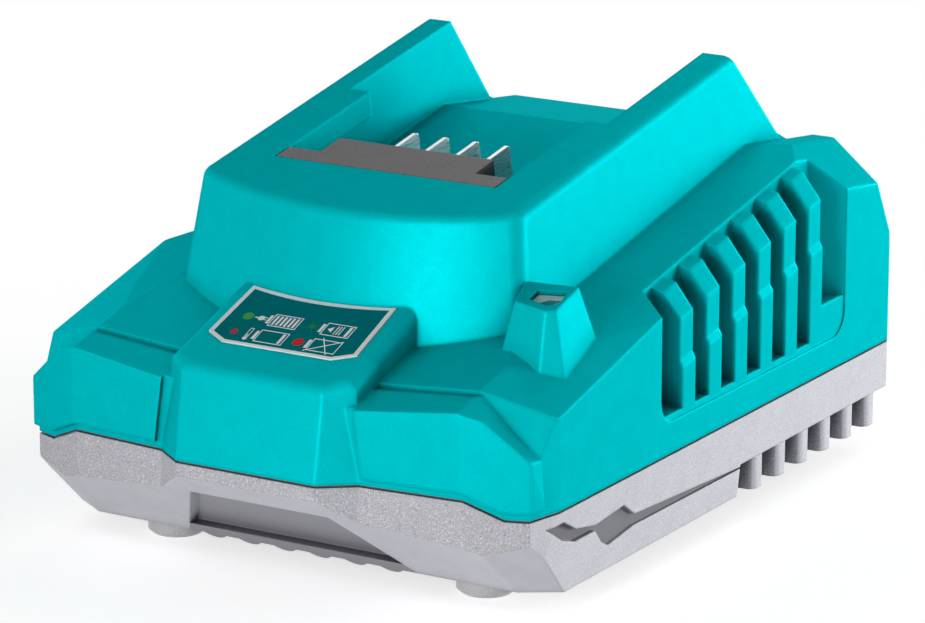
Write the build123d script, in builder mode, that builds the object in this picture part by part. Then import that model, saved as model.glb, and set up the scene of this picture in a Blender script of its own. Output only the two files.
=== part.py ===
from build123d import *
import os
from math import cos, radians, sin, tan

# Battery charger for slide-on tool packs. X is to the right, Y to the rear and Z up.
# The origin is on the table, at the middle of the footprint. All sizes are in millimetres.

# Overall sizes
body_width = 115.0
body_depth = 160.0
foot_height = 4.4
wall = 2.2
floor_wall = 2.4

# Outer faces, which many of the places below follow
half_width = body_width / 2
front_y = -body_depth / 2
rear_y = body_depth / 2

# How far a cut runs past the face it opens, and a length longer than the whole body
over = 1.0
reach = body_width + body_depth

# Seam between the two shells: high across the front, lower along the sides
seam_front_z = 25.4
seam_side_z = 22.1
seam_high_half = half_width - 13.8
seam_low_half = half_width - 6.4
seam_groove = 0.5
seam_groove_depth = 0.8

# Plan of both shells, as steps from the corners of the overall rectangle
lobe_setback = 5.0
lobe_sweep = 1.9
corner_setback = 11.2
corner_inset = 1.8
cheek_setback = 19.5
rear_corner_radius = 3.6
rear_corner_flat = 1.1
nose_half = 15.6
nose_root_half = 22.4

# Battery dock: a tower whose top face slopes up to the rear
dock_slope = 10.0
dock_front_y = front_y + 31.1
dock_front_z = 70.0
dock_length = 94.6
dock_half = 36.4
dock_draft = 7.4
dock_front_draft = 22.5
dock_front_radius = 73.0
dock_corner_radius = 4.0
dock_edge_radius = 2.2
dock_drop = 31.0
dock_rear_lean = 40.0
channel_half = 30.0
channel_depth = 16.7
channel_start = 19.0
lip_half = 25.3
lip_thickness = 5.6
lip_end = 54.7

# Terminal block and its four blades
block_body_half = 17.7
block_body_length = 12.2
block_wing_half = 25.0
block_wing_length = 5.0
block_foot_half = 23.5
block_foot_length = 17.0
block_foot_thickness = 3.7
block_spigot_half = 13.5
block_spigot_setback = 2.0
block_spigot_length = 7.0
block_fit = 0.15
blade_count = 4
blade_pitch = 7.1
blade_thickness = 0.8
blade_height = 8.0
blade_top_depth = 4.4
blade_reach = 17.0
blade_root = 8.0
blade_tail_width = 3.0
blade_tail_length = 6.0
blade_fit = 0.05
blade_end_round = 1.0

# Roof of the body around the dock, as heights and rises per millimetre
shoulder_x = 39.0
shoulder_y = front_y + 73.0
shoulder_z = 57.3
shoulder_rise = 0.198
shoulder_fall = 0.227
cheek_z = 40.3
cheek_rise = 0.257
cheek_fall = 0.372
apron_x = half_width - 26.8
apron_y = front_y + 14.4
apron_z = 43.3
apron_rise = 0.26
apron_fan = 0.084
roof_y = rear_y - 38.0
roof_z = 68.9
roof_rise = -0.128
haunch_x = half_width - 11.2
haunch_fall = 0.73
rear_lean_z = 47.0
rear_lean = 0.4
rear_facet_x = half_width - 13.5
rear_facet_y = rear_y - 7.1
rear_facet_z = 66.0
rear_facet_turn = 28.7
rear_facet_lean = 0.467
valley_inner = 31.0
valley_outer = 41.0
valley_inner_fall = 0.5
valley_outer_fall = 0.33

# Front lobes with their raised pads
lobe_rise = -0.1
lobe_step = 0.8
lobe_corner_x = half_width - 13.7
lobe_corner_fall = 0.84
lobe_corner_normal = (-0.375, 0.797, -0.474)
pad_raise = 0.9
pad_inner_x = 23.6
pad_inner_lean = 0.146
pad_outer_lean = 0.1
pad_rear_y = front_y + 14.0
pad_bottom = 1.4

# Block in the middle of the front, with the status label on its slope
nose_rise = 0.376
label_y = front_y + 28.4
label_z = 53.0
nose_front_lean = 0.168
nose_side_lean = 0.087
nose_corner_lean = 0.13
nose_edge_radius = 2.8
nose_rear_y = front_y + 40.0
label_thickness = 0.5
label_pocket = 0.3
label_fit = 0.15
label_top_half = 16.2
label_mid_half = 16.8
label_low_half = 12.3
label_mid_drop = 15.9
label_low_drop = 18.3
label_sag = 1.6

# Lens nose on the right of the dock, with the light guide in it
lens_nose_rise = 0.2
lens_nose_z = 56.7
lens_nose_front_y = front_y + 29.8
lens_nose_lean = 0.24
nose_spread = 10.0
lens_x = dock_half + 9.0
lens_y = front_y + 35.0
lens_depth = 2.4
lens_sink = 0.8
guide_radius = 1.7
guide_fit = 0.15
lamp_gap = 0.4

# Side vents: a panel with six fins, open between them and closed behind the last one
vent_count = 6
vent_pitch = 10.77
vent_first_y = front_y + 69.7
fin_width = 5.0
vent_recess = 1.0
vent_lower_recess = 0.3
vent_step_z = 40.3
vent_step_rise = 0.185
vent_step_fall = 1.7
vent_front_y = front_y + 58.0
vent_front_inner_y = front_y + 63.8
vent_rear_y = front_y + 136.2
vent_rear_inner_y = front_y + 132.6
vent_sill_z = 28.5
slot_sill = 1.3
vent_tail_z = 36.6
vent_window_top_z = 45.0
vent_corner_radius = 5.0
vent_top_x = half_width - 7.5
vent_top_z = 58.2
vent_rise = 0.19
vent_bevel_fall = 1.265
vent_crest_drop = 0.7

# Lower shell
undercut_drop = 3.2
undercut_run = 1.107
lower_draft = 0.113
corner_cut_x = half_width - 9.5
corner_cut_turn = 32.6
corner_cut_lean = 0.9
strip_z = 11.2
pan_half = half_width - 4.3
pan_start_y = rear_y - 66.5
pan_rear_y = rear_y - 6.2
rib_count = 6
rib_pitch = 10.1
rib_first_y = rear_y - 58.7
rib_width = 5.0
rib_reach = 3.2
rib_round = 1.8
recess_top_half = 15.6
recess_low_half = 24.5
recess_top_z = 17.9
recess_low_z = 6.7
recess_depth = 2.0
keel_count = 6
keel_pitch = 8.1
keel_radius = 3.6
keel_depth = 1.0
keel_length = 110.0
groove_depth = 1.2
groove_tail_z = 10.7
groove_tail_width = 0.4

# Outline of the groove along the side, as (Y, Z) points from the front and back again
groove_upper_edge = [
    (front_y + 15.3, 19.3), (front_y + 21.2, 19.4), (front_y + 26.5, 16.6), (front_y + 34.1, 15.2),
    (front_y + 44.9, 16.2), (front_y + 49.7, 13.1),
]
groove_lower_edge = [
    (front_y + 49.7, 10.7), (front_y + 40.0, 9.4), (front_y + 37.3, 10.7), (front_y + 34.1, 14.0),
    (front_y + 26.5, 14.0), (front_y + 21.3, 15.6),
]

# Feet and the long screws above them
post_joint_z = 23.0
pilot_fit = 0.05
foot_x = half_width - 21.8
foot_front_y = front_y + 29.3
foot_rear_y = rear_y - 20.0
foot_radius = 5.9
foot_edge = 0.8
foot_spigot_radius = 4.6
foot_spigot_length = 0.9
foot_fit = 0.1
post_radius = 5.0
screw_radius = 1.5
screw_head_radius = 2.9
screw_head_height = 1.8
screw_head_cover = 3.6
screw_bite = 10.0
screw_fit = 0.15
post_gap = 0.2

# Main board and its standoffs
board_half = half_width - 9.5
board_front_y = front_y + 32.6
board_rear_y = rear_y - 30.0
board_thickness = 1.6
standoff_height = 4.5
standoff_radius = 3.0
standoff_x = board_half - 5.0
standoff_front_y = board_front_y + 25.4
standoff_rear_y = board_rear_y - 8.0
board_screw_radius = 1.2
board_screw_head_radius = 2.4
board_screw_head = 1.5
board_screw_length = 4.0

# Cord inlet
gland_z = 19.0
gland_bore_radius = 2.8
gland_neck_radius = 3.9
gland_flange_radius = 5.2
gland_inner_radius = 4.6
gland_flange = 2.0
gland_fit = 0.1
gland_seat_radius = 6.2
gland_mouth_round = 0.5

# Parts on the board: place (X, Y) and size (X, Y, Z) or radius and height
transformer_place = (0.0, 8.0)
core_size = (34.0, 14.0, 28.0)
core_leg = 8.0
core_window = (6.5, 18.0)
winding_depth = 25.0
winding_fit = 0.2
winding_corner = 2.0
filter_place = (-5.0, board_rear_y - 8.0)
filter_size = (18.0, 9.0, 15.0)
filter_corner = 1.0
choke_place = (-25.0, board_rear_y - 11.5)
choke_radius = 8.8
choke_bore_radius = 4.0
choke_height = 8.0
choke_turns = 16
choke_wire = 0.4
choke_base = 1.0
cord_terminal_place = (10.0, board_rear_y - 6.0)
cord_terminal_size = (10.0, 8.0, 10.0)
cord_terminal_pitch = 5.0
cord_terminal_hole_radius = 1.5
cord_terminal_hole_depth = 3.0
fuse_place = (27.0, board_rear_y - 8.0)
fuse_length = 20.0
fuse_radius = 2.6
fuse_lift = 4.0
fuse_clip_width = 4.0
fuse_clip_side = 1.0
bridge_place = (14.0 - board_half, board_rear_y - 24.0)
bridge_size = (20.0, 4.6, 17.0)
bridge_corner = 4.0
primary_capacitor_place = (31.0, 20.0)
primary_capacitor_radius = 9.0
primary_capacitor_height = 32.0
output_capacitor_places = [(-19.0, board_front_y + 26.4), (-31.0, board_front_y + 23.4)]
output_capacitor_radius = 5.0
output_capacitor_height = 16.0
capacitor_groove = 0.5
heatsink_x = 27.0
heatsink_ys = (4.0, -13.0)
heatsink_width = 28.0
heatsink_height = 26.0
heatsink_plate = 2.0
heatsink_fin_count = 6
heatsink_fin_depth = 8.0
heatsink_fin_thickness = 1.2
device_size = (4.5, 10.0, 9.0)
device_tab_thickness = 1.3
device_tab_height = 15.5
device_leg_height = 4.0
device_leg = 0.8
device_leg_pitch = 2.54
optocoupler_place = (-16.0, -8.0)
optocoupler_size = (6.5, 4.6, 3.6)
controller_place = (0.0, board_front_y + 14.4)
controller_size = (10.0, 6.0, 1.6)
lamp_radius = 1.5
lamp_height = 4.0
lamp_base_radius = 1.95
lamp_base_height = 0.8
lamp_tip_round = 1.2
socket_y = board_front_y + 29.4
socket_size = (24.0, 7.0, 6.0)
plug_size = (22.6, 6.2, 7.0)
socket_pitch = 5.0
wire_radius = 0.9
wire_straight = 6.0
wire_bend_radius = 5.0

# Values worked out from the sizes above
base_z = foot_height
floor_z = base_z + floor_wall
board_z = floor_z + standoff_height
board_top = board_z + board_thickness
dock_run = cos(radians(dock_slope))
dock_climb = sin(radians(dock_slope))
dock_plane = Plane(origin=(0, dock_front_y, dock_front_z), x_dir=(1, 0, 0), z_dir=(0, -dock_climb, dock_run))
label_plane = Plane(origin=(0, label_y, label_z), x_dir=(1, 0, 0), z_dir=(0, -nose_rise, 1))
lens_z = lens_nose_z + lens_nose_rise * (lens_y - lens_nose_front_y)
lens_plane = Plane(origin=(lens_x, lens_y, lens_z), x_dir=(1, 0, 0), z_dir=(0, -lens_nose_rise, 1))
lamp_top = board_top + lamp_height
screw_places = [(x, y) for x in (-foot_x, foot_x) for y in (foot_front_y, foot_rear_y)]
standoff_places = [(x, y) for x in (-standoff_x, standoff_x) for y in (standoff_front_y, standoff_rear_y)]
screw_seat_z = base_z + screw_head_cover
blade_places = [(i - (blade_count - 1) / 2) * blade_pitch for i in range(blade_count)]
fins_front_y = vent_first_y - fin_width / 2
fins_rear_y = fins_front_y + (vent_count - 1) * vent_pitch + fin_width


def sloped(x, y, z, rise_x, rise_y):
    # A plane through one point that climbs by rise_x and rise_y per millimetre
    return Plane(origin=(x, y, z), z_dir=(-rise_x, -rise_y, 1))


def dock_point(x, along, depth):
    # A point given by its distance along the dock face and its depth below that face
    y = dock_front_y + along * dock_run + depth * dock_climb
    z = dock_front_z + along * dock_climb - depth * dock_run
    return (x, y, z)


def span_box(x_span, y_span, z_span):
    # An upright box between two X, two Y and two Z values
    with BuildPart() as box:
        with BuildSketch(Plane.XY.offset(z_span[0])):
            with Locations(((x_span[0] + x_span[1]) / 2, (y_span[0] + y_span[1]) / 2)):
                Rectangle(x_span[1] - x_span[0], y_span[1] - y_span[0])
        extrude(amount=z_span[1] - z_span[0])
    return box.part


def dock_box(x_span, along_span, depth_span):
    # A box set square to the dock face
    with BuildPart() as box:
        with BuildSketch(dock_plane.offset(-depth_span[1])):
            with Locations(((x_span[0] + x_span[1]) / 2, (along_span[0] + along_span[1]) / 2)):
                Rectangle(x_span[1] - x_span[0], along_span[1] - along_span[0])
        extrude(amount=depth_span[1] - depth_span[0])
    return box.part


def outline_bar(plane, points, length):
    # A straight bar over a closed outline drawn on a plane
    with BuildPart() as bar:
        with BuildSketch(plane):
            with BuildLine():
                Polyline(*points, close=True)
            make_face()
        extrude(amount=length)
    return bar.part


def clipped(block, roofs, inset=0.0):
    # What is left of a block below each of the given planes, each lowered by the inset
    with BuildPart() as rest:
        add(block)
        for roof in roofs:
            split(bisect_by=roof.offset(-inset), keep=Keep.BOTTOM)
    return rest.part


def shell_plan(front_points):
    right = front_points + [
        (nose_root_half, front_y + lobe_setback),
        (seam_high_half, front_y + lobe_setback + lobe_sweep),
        (half_width - corner_inset, front_y + corner_setback),
        (half_width, front_y + cheek_setback),
        (half_width, rear_y - rear_corner_radius),
        (half_width - rear_corner_flat, rear_y - rear_corner_flat),
        (half_width - rear_corner_radius, rear_y),
    ]
    return right + [(-x, y) for x, y in reversed(right)]


def plan_prism(z_span, inset, front_points):
    # An upright prism over the plan of the shells, shrunk by the inset
    with BuildPart() as block:
        with BuildSketch(Plane.XY.offset(z_span[0])):
            with BuildLine():
                Polyline(*shell_plan(front_points), close=True)
            make_face()
            if inset:
                offset(amount=-inset, kind=Kind.INTERSECTION, mode=Mode.REPLACE)
        extrude(amount=z_span[1] - z_span[0])
    return block.part


def lobe_space(inset):
    # The air above the right front lobe, in front of the low step where the apron starts
    crest = apron_z + apron_fan * (lobe_corner_x - apron_x) - lobe_step - inset
    lobe_roof = sloped(lobe_corner_x, apron_y, crest, apron_fan, lobe_rise)
    corner_roof = sloped(lobe_corner_x, apron_y, crest, -lobe_corner_fall, lobe_rise)
    corner_cut = Plane(origin=(lobe_corner_x, apron_y, crest), z_dir=lobe_corner_normal)
    corner_out = half_width + over
    with BuildPart() as corner:
        add(span_box((lobe_corner_x, corner_out), (front_y - over, dock_front_y), (seam_side_z, reach)))
        split(bisect_by=corner_roof, keep=Keep.TOP)
        split(bisect_by=corner_cut, keep=Keep.BOTTOM)
    with BuildPart() as air:
        add(span_box((0, lobe_corner_x), (front_y - over, apron_y), (seam_side_z, reach)))
        split(bisect_by=lobe_roof, keep=Keep.TOP)
        add(corner.part)
    return air.part


def roof_valley(inset):
    # The hollow along the right of the roof, between its middle and the haunch
    inner_side = sloped(valley_inner, roof_y, roof_z, -valley_inner_fall, roof_rise)
    outer_side = sloped(valley_outer, roof_y, roof_z, valley_outer_fall, roof_rise)
    with BuildPart() as valley:
        add(span_box((valley_inner, valley_outer), (roof_y, rear_y), (seam_front_z, reach)))
        split(bisect_by=inner_side.offset(-inset), keep=Keep.TOP)
        split(bisect_by=outer_side.offset(-inset), keep=Keep.TOP)
    return valley.part


def body_block(plan_inset, roof_inset, low):
    # Lobes, cheeks and roof: the right half is clipped by its sloping faces, then mirrored
    facet_out = sin(radians(rear_facet_turn))
    facet_back = cos(radians(rear_facet_turn))
    roofs = [
        sloped(apron_x, apron_y, apron_z, apron_fan, apron_rise),
        sloped(shoulder_x, shoulder_y, shoulder_z, 0, shoulder_rise),
        sloped(shoulder_x, shoulder_y, shoulder_z, -shoulder_fall, shoulder_rise),
        sloped(half_width, front_y + cheek_setback, cheek_z, -cheek_fall, cheek_rise),
        sloped(0, roof_y, roof_z, 0, roof_rise),
        sloped(haunch_x, roof_y, roof_z, -haunch_fall, roof_rise),
        sloped(0, rear_y, rear_lean_z, 0, -1 / rear_lean),
        Plane((rear_facet_x, rear_facet_y, rear_facet_z), z_dir=(facet_out, facet_back, rear_facet_lean)),
    ]
    whole = plan_prism((low, reach), plan_inset, [])
    air = lobe_space(roof_inset)
    valley = roof_valley(roof_inset)
    with BuildPart() as block:
        add(whole)
        split(bisect_by=Plane.YZ, keep=Keep.TOP)
        for roof in roofs:
            split(bisect_by=roof.offset(-roof_inset), keep=Keep.BOTTOM)
        add(air, mode=Mode.SUBTRACT)
        add(valley, mode=Mode.SUBTRACT)
        mirror(about=Plane.YZ)
    return block.part


def dock_plan(depth, inset):
    # Outline of the dock tower at a depth below its top face, shrunk by the inset
    half = dock_half + depth * tan(radians(dock_draft))
    front = -depth * tan(radians(dock_front_draft))
    straight = dock_length + dock_drop - dock_front_radius - front
    with BuildSketch(dock_plane.offset(-depth)) as plan:
        with Locations((0, front + dock_front_radius)):
            Circle(dock_front_radius)
        with Locations((0, front + dock_front_radius / 2)):
            Rectangle(2 * half, dock_front_radius, mode=Mode.INTERSECT)
        with Locations((0, front + dock_front_radius + straight / 2)):
            Rectangle(2 * half, straight)
        fillet(plan.vertices().group_by(Axis.Y)[0], dock_corner_radius)
        if inset:
            offset(amount=-inset, mode=Mode.REPLACE)
    return plan.sketch


def dock_tower(inset):
    # The domed front and the rails in one piece, before the channel is cut
    top_rear = dock_point(0, dock_length, 0)
    rear_face = sloped(0, top_rear[1], top_rear[2], 0, -1 / tan(radians(dock_rear_lean)))
    outlines = [dock_plan(inset, inset), dock_plan(inset + dock_drop, inset)]
    with BuildPart() as tower:
        loft(sections=outlines, ruled=True)
        if not inset:
            fillet(tower.faces().sort_by(Axis.Z)[-1].edges(), dock_edge_radius)
        split(bisect_by=rear_face.offset(-inset), keep=Keep.BOTTOM)
    return tower.part


def dock_channel(gap):
    # The space that a pack slides into, open at the rear, with the roof behind it left bare
    half = channel_half + gap
    channel = dock_box((-half, half), (channel_start - gap, reach), (-reach, channel_depth + gap))
    with BuildPart() as space:
        add(span_box((-half, half), (roof_y, rear_y), (seam_front_z, reach)))
        split(bisect_by=sloped(0, roof_y, roof_z, 0, roof_rise).offset(-gap), keep=Keep.TOP)
        add(channel)
    return space.part


def nose_block(inset):
    # Block below the status label, from the front face back into the dome
    slant = Vector(-lobe_setback, nose_root_half - nose_half, 0).normalized()
    faces = [
        label_plane,
        Plane(origin=(0, front_y, seam_front_z), z_dir=(0, -1, nose_front_lean)),
        Plane(origin=(nose_root_half, 0, seam_front_z), z_dir=(1, 0, nose_side_lean)),
        Plane(origin=(-nose_root_half, 0, seam_front_z), z_dir=(-1, 0, nose_side_lean)),
        Plane(origin=(nose_half, front_y, seam_front_z), z_dir=(-slant.X, -slant.Y, nose_corner_lean)),
        Plane(origin=(-nose_half, front_y, seam_front_z), z_dir=(slant.X, -slant.Y, nose_corner_lean)),
    ]
    blank = span_box((-half_width, half_width), (front_y - over, nose_rear_y), (seam_side_z, reach))
    block = clipped(blank, faces, inset)
    with BuildPart() as nose:
        add(block)
        if not inset:
            rim = nose.faces().sort_by(Axis.Z)[-1].edges().sort_by(Axis.Y)[:-1]
            fillet(rim, nose_edge_radius)
    return nose.part


def lens_nose():
    # Five-sided stub beside the right of the dome that holds the light guide and spreads toward its foot
    corners = [
        Vector(dock_half + x, lens_nose_front_y + y, lens_nose_z)
        for x, y in [(3.8, 1.9), (11.6, 0), (13.4, 1.1), (12.9, 11.7), (0.6, 10.8)]
    ]
    faces = [sloped(0, lens_nose_front_y, lens_nose_z, 0, lens_nose_rise)]
    for start, end in zip(corners, corners[1:] + corners[:1]):
        along = (end - start).normalized()
        faces.append(Plane(origin=start, z_dir=(along.Y, -along.X, lens_nose_lean)))
    sides = (dock_half - nose_spread, dock_half + 2 * nose_spread)
    ends = (lens_nose_front_y - nose_spread, lens_nose_front_y + 2 * nose_spread)
    return clipped(span_box(sides, ends, (cheek_z, reach)), faces)


def lens_solid(gap, top, stem_low):
    # The five-sided lens with its round stem, or the hole for them when grown by the gap
    with BuildPart() as lens:
        with BuildSketch(lens_plane.offset(-lens_depth)):
            with BuildLine():
                Polyline((-3.1, -1.3), (1.5, -2.7), (3.0, -1.6), (2.5, 3.3), (-3.2, 2.2), close=True)
            make_face()
            if gap:
                offset(amount=gap, kind=Kind.INTERSECTION, mode=Mode.REPLACE)
        extrude(amount=lens_depth + top)
        with BuildSketch(Plane.XY.offset(stem_low)):
            with Locations((lens_x, lens_y)):
                Circle(guide_radius + gap)
        extrude(amount=lens_z - lens_depth / 2 - stem_low)
    return lens.part


def vent_panel(x_start):
    # Everything to the right of the given X that lies within the side outline of the vents
    points = [
        (vent_front_y, vent_sill_z), (vent_rear_y, vent_sill_z), (vent_rear_y, reach), (vent_front_y, reach),
    ]
    with BuildPart() as panel:
        with BuildSketch(Plane.YZ.offset(x_start)) as side_view:
            with BuildLine():
                Polyline(*points, close=True)
            make_face()
            fillet(side_view.vertices().group_by(Axis.Z)[0], vent_corner_radius)
        extrude(amount=half_width - x_start + over)
    return panel.part


def vent_bevels():
    # What is cut off the fins: their crest below the shoulder, a bevel outside it and a ledge lower down
    fin_face_x = half_width - vent_recess
    bevel = sloped(vent_top_x, 0, vent_top_z, -vent_bevel_fall, vent_rise)
    ledge = sloped(half_width - vent_lower_recess, 0, vent_step_z, -vent_step_fall, vent_step_rise)
    fin_span = (fins_front_y, fins_rear_y)
    crest = sloped(shoulder_x, shoulder_y, shoulder_z - vent_crest_drop, -shoulder_fall, shoulder_rise)
    with BuildPart() as crest_cut:
        add(span_box((vent_top_x, half_width + over), fin_span, (vent_sill_z, reach)))
        split(bisect_by=crest, keep=Keep.TOP)
    with BuildPart() as lower_cut:
        add(span_box((fin_face_x, half_width + over), fin_span, (vent_sill_z, reach)))
        split(bisect_by=ledge, keep=Keep.TOP)
    with BuildPart() as cuts:
        add(span_box((vent_top_x, half_width + over), fin_span, (vent_sill_z, reach)))
        split(bisect_by=bevel, keep=Keep.TOP)
        add(crest_cut.part)
        add(lower_cut.part)
    return cuts.part


def vent_spaces():
    # Open slots in front of the fins, and the closed hollow behind the last of them
    out = half_width + over
    front_points = [
        (vent_top_x, vent_front_inner_y), (half_width, vent_front_y), (out, vent_front_y),
        (out, fins_front_y), (vent_top_x, fins_front_y),
    ]
    rear_points = [
        (vent_top_x, vent_rear_inner_y), (half_width, vent_rear_y), (out, vent_rear_y),
        (out, fins_rear_y), (vent_top_x, fins_rear_y),
    ]
    with BuildPart() as spaces:
        with BuildSketch(Plane.XY.offset(vent_sill_z + slot_sill)):
            for index in range(1, vent_count):
                with Locations(((vent_top_x + out) / 2, vent_first_y + (index - 0.5) * vent_pitch)):
                    Rectangle(out - vent_top_x, vent_pitch - fin_width)
        extrude(amount=reach)
        add(outline_bar(Plane.XY.offset(vent_sill_z + slot_sill), front_points, reach))
        add(outline_bar(Plane.XY.offset(vent_tail_z), rear_points, reach))
        add(vent_panel(vent_top_x), mode=Mode.INTERSECT)
    return spaces.part


def vent_windows():
    # Openings to the inside, low in the back wall of each slot
    with BuildPart() as windows:
        with BuildSketch(Plane.XY.offset(vent_sill_z + slot_sill)):
            for index in range(1, vent_count):
                with Locations((vent_top_x - wall / 2, vent_first_y + (index - 0.5) * vent_pitch)):
                    Rectangle(wall + 2 * over, vent_pitch - fin_width)
        extrude(amount=vent_window_top_z - vent_sill_z - slot_sill)
    return windows.part


def below_seam(drop):
    # Everything lower than the seam, which falls from the front middle to both sides
    top = seam_front_z - drop
    low = seam_side_z - drop
    points = [
        (-body_width, 0), (body_width, 0), (body_width, low), (seam_low_half, low), (seam_high_half, top),
        (-seam_high_half, top), (-seam_low_half, low), (-body_width, low),
    ]
    return outline_bar(Plane.XZ.offset(-body_depth), points, 2 * body_depth)


def both_sides(solid):
    # A right-hand feature together with its mirror image
    with BuildPart() as pair:
        add(solid)
        mirror(about=Plane.YZ)
    return pair.part


def undercut_faces():
    # Undercut front, turned corners and drafted sides of the lower shell
    base_front_y = front_y + undercut_run * (seam_front_z - undercut_drop - base_z)
    out = sin(radians(corner_cut_turn))
    ahead = cos(radians(corner_cut_turn))
    corner = (corner_cut_x, base_front_y, base_z)
    mirrored = (-corner_cut_x, base_front_y, base_z)
    return [
        Plane(origin=(0, base_front_y, base_z), z_dir=(0, -1, -undercut_run)),
        Plane(origin=(half_width, 0, seam_side_z), z_dir=(1, 0, -lower_draft)),
        Plane(origin=(-half_width, 0, seam_side_z), z_dir=(-1, 0, -lower_draft)),
        Plane(origin=corner, z_dir=(out, -ahead, -corner_cut_lean)),
        Plane(origin=mirrored, z_dir=(-out, -ahead, -corner_cut_lean)),
    ]


def pan_relief(inset):
    # The space around the narrower pan, under the strip at the sides and the rear
    side = span_box((pan_half - inset, body_width), (pan_start_y - inset, body_depth), (0, strip_z + inset))
    rear = span_box((-body_width, body_width), (pan_rear_y - inset, body_depth), (0, strip_z + inset))
    with BuildPart() as relief:
        add(side)
        mirror(about=Plane.YZ)
        add(rear)
    return relief.part


def front_recess(depth, grow):
    # Trapezoid hollow in the undercut below the middle of the front
    points = [
        (-recess_low_half - grow, recess_low_z - grow), (recess_low_half + grow, recess_low_z - grow),
        (recess_top_half + grow, recess_top_z + grow), (-recess_top_half - grow, recess_top_z + grow),
    ]
    bar = outline_bar(Plane.XZ, points, body_depth)
    with BuildPart() as recess:
        add(bar)
        split(bisect_by=undercut_faces()[0].offset(-depth), keep=Keep.TOP)
    return recess.part


def side_groove():
    # Stepped groove along the right side of the lower shell, tapering to the rear
    tail = [(pan_start_y, groove_tail_z), (pan_start_y, groove_tail_z - groove_tail_width)]
    plane = Plane.YZ.offset(half_width - groove_depth - seam_groove_depth)
    return outline_bar(plane, groove_upper_edge + tail + groove_lower_edge, body_width)


def post_set(radius, z_span):
    # Four upright cylinders on the axes of the housing screws
    with BuildPart() as posts:
        with BuildSketch(Plane.XY.offset(z_span[0])):
            with Locations(*screw_places):
                Circle(radius)
        extrude(amount=z_span[1] - z_span[0])
    return posts.part


def standoff_set(radius, z_span):
    # Four upright cylinders on the axes of the board screws
    with BuildPart() as posts:
        with BuildSketch(Plane.XY.offset(z_span[0])):
            with Locations(*standoff_places):
                Circle(radius)
        extrude(amount=z_span[1] - z_span[0])
    return posts.part


def rear_cylinder(radius, y_span):
    # A cylinder on the axis of the cord inlet
    with BuildPart() as cylinder:
        with BuildSketch(Plane.XZ.offset(-y_span[1])):
            with Locations((0, gland_z)):
                Circle(radius)
        extrude(amount=y_span[1] - y_span[0])
    return cylinder.part


def save(piece, name):
    piece.part.label = name
    export_step(piece.part, f"parts/{name}.step")


os.makedirs("parts", exist_ok=True)

# Upper shell
outer_body = body_block(0, 0, seam_side_z)
outer_tower = dock_tower(0)
outer_nose = nose_block(0)
lens_wedge = lens_nose()
pad_limits = [
    Plane(origin=(pad_inner_x, 0, seam_front_z), z_dir=(-1, 0, -pad_inner_lean)),
    Plane(origin=(half_width, 0, seam_side_z), z_dir=(1, 0, pad_outer_lean)),
    Plane(origin=(0, pad_rear_y, 0), z_dir=(0, 1, 0)),
]
below_pads = below_seam(-pad_bottom)
pad_blank = clipped(body_block(-pad_raise, 0, seam_side_z), pad_limits)
with BuildPart() as pad:
    add(pad_blank)
    add(below_pads, mode=Mode.SUBTRACT)
pads = both_sides(pad.part)
inner_body = body_block(wall, wall, seam_side_z - 5)
inner_tower = dock_tower(wall)
inner_nose = nose_block(wall)
dock_space = dock_channel(0)
dock_shell = dock_channel(wall)
lips = both_sides(dock_box(
    (lip_half, channel_half + over), (channel_start - over, lip_end), (0, lip_thickness),
))
vent_recess_cut = both_sides(vent_panel(half_width - vent_lower_recess))
vent_bevel_cut = both_sides(vent_bevels())
vent_openings = both_sides(vent_spaces())
vent_frames = both_sides(span_box(
    (vent_top_x - wall, half_width), (vent_front_y - wall, vent_rear_y + wall), (vent_sill_z - wall, reach),
))
window_cut = both_sides(vent_windows())
lens_seat = lens_solid(guide_fit, over, board_top)
lower_space = below_seam(0)
upper_bosses = post_set(post_radius, (post_joint_z + post_gap, reach))
pilot_holes = post_set(screw_radius + pilot_fit, (post_joint_z - over, post_joint_z + screw_bite + over))
spigot_start = channel_start + block_spigot_setback
spigot_end = spigot_start + block_spigot_length
spigot_hole = dock_box(
    (-block_spigot_half - block_fit, block_spigot_half + block_fit),
    (spigot_start - block_fit, spigot_end + block_fit),
    (channel_depth - over, channel_depth + wall + over),
)
label_points = [
    (-label_mid_half, -label_mid_drop), (-label_low_half, -label_low_drop), (label_low_half, -label_low_drop),
    (label_mid_half, -label_mid_drop), (label_top_half, 0),
]


def label_sheet(base, thickness, grow):
    # The status label, or its shallow seat when grown by the clearance
    with BuildPart() as sheet:
        with BuildSketch(label_plane.offset(base)):
            with BuildLine():
                Polyline((-label_top_half, 0), *label_points)
                ThreePointArc((label_top_half, 0), (0, -label_sag), (-label_top_half, 0))
            make_face()
            if grow:
                offset(amount=grow, kind=Kind.INTERSECTION, mode=Mode.REPLACE)
        extrude(amount=thickness)
    return sheet.part


label_seat = label_sheet(-label_pocket, label_pocket + over, label_fit)
label_body = label_sheet(-label_pocket, label_thickness, 0)

with BuildPart() as hollow:
    add(inner_body)
    add(inner_tower)
    add(inner_nose)
    add(dock_shell, mode=Mode.SUBTRACT)
    add(vent_frames, mode=Mode.SUBTRACT)
    add(upper_bosses, mode=Mode.SUBTRACT)

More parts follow.
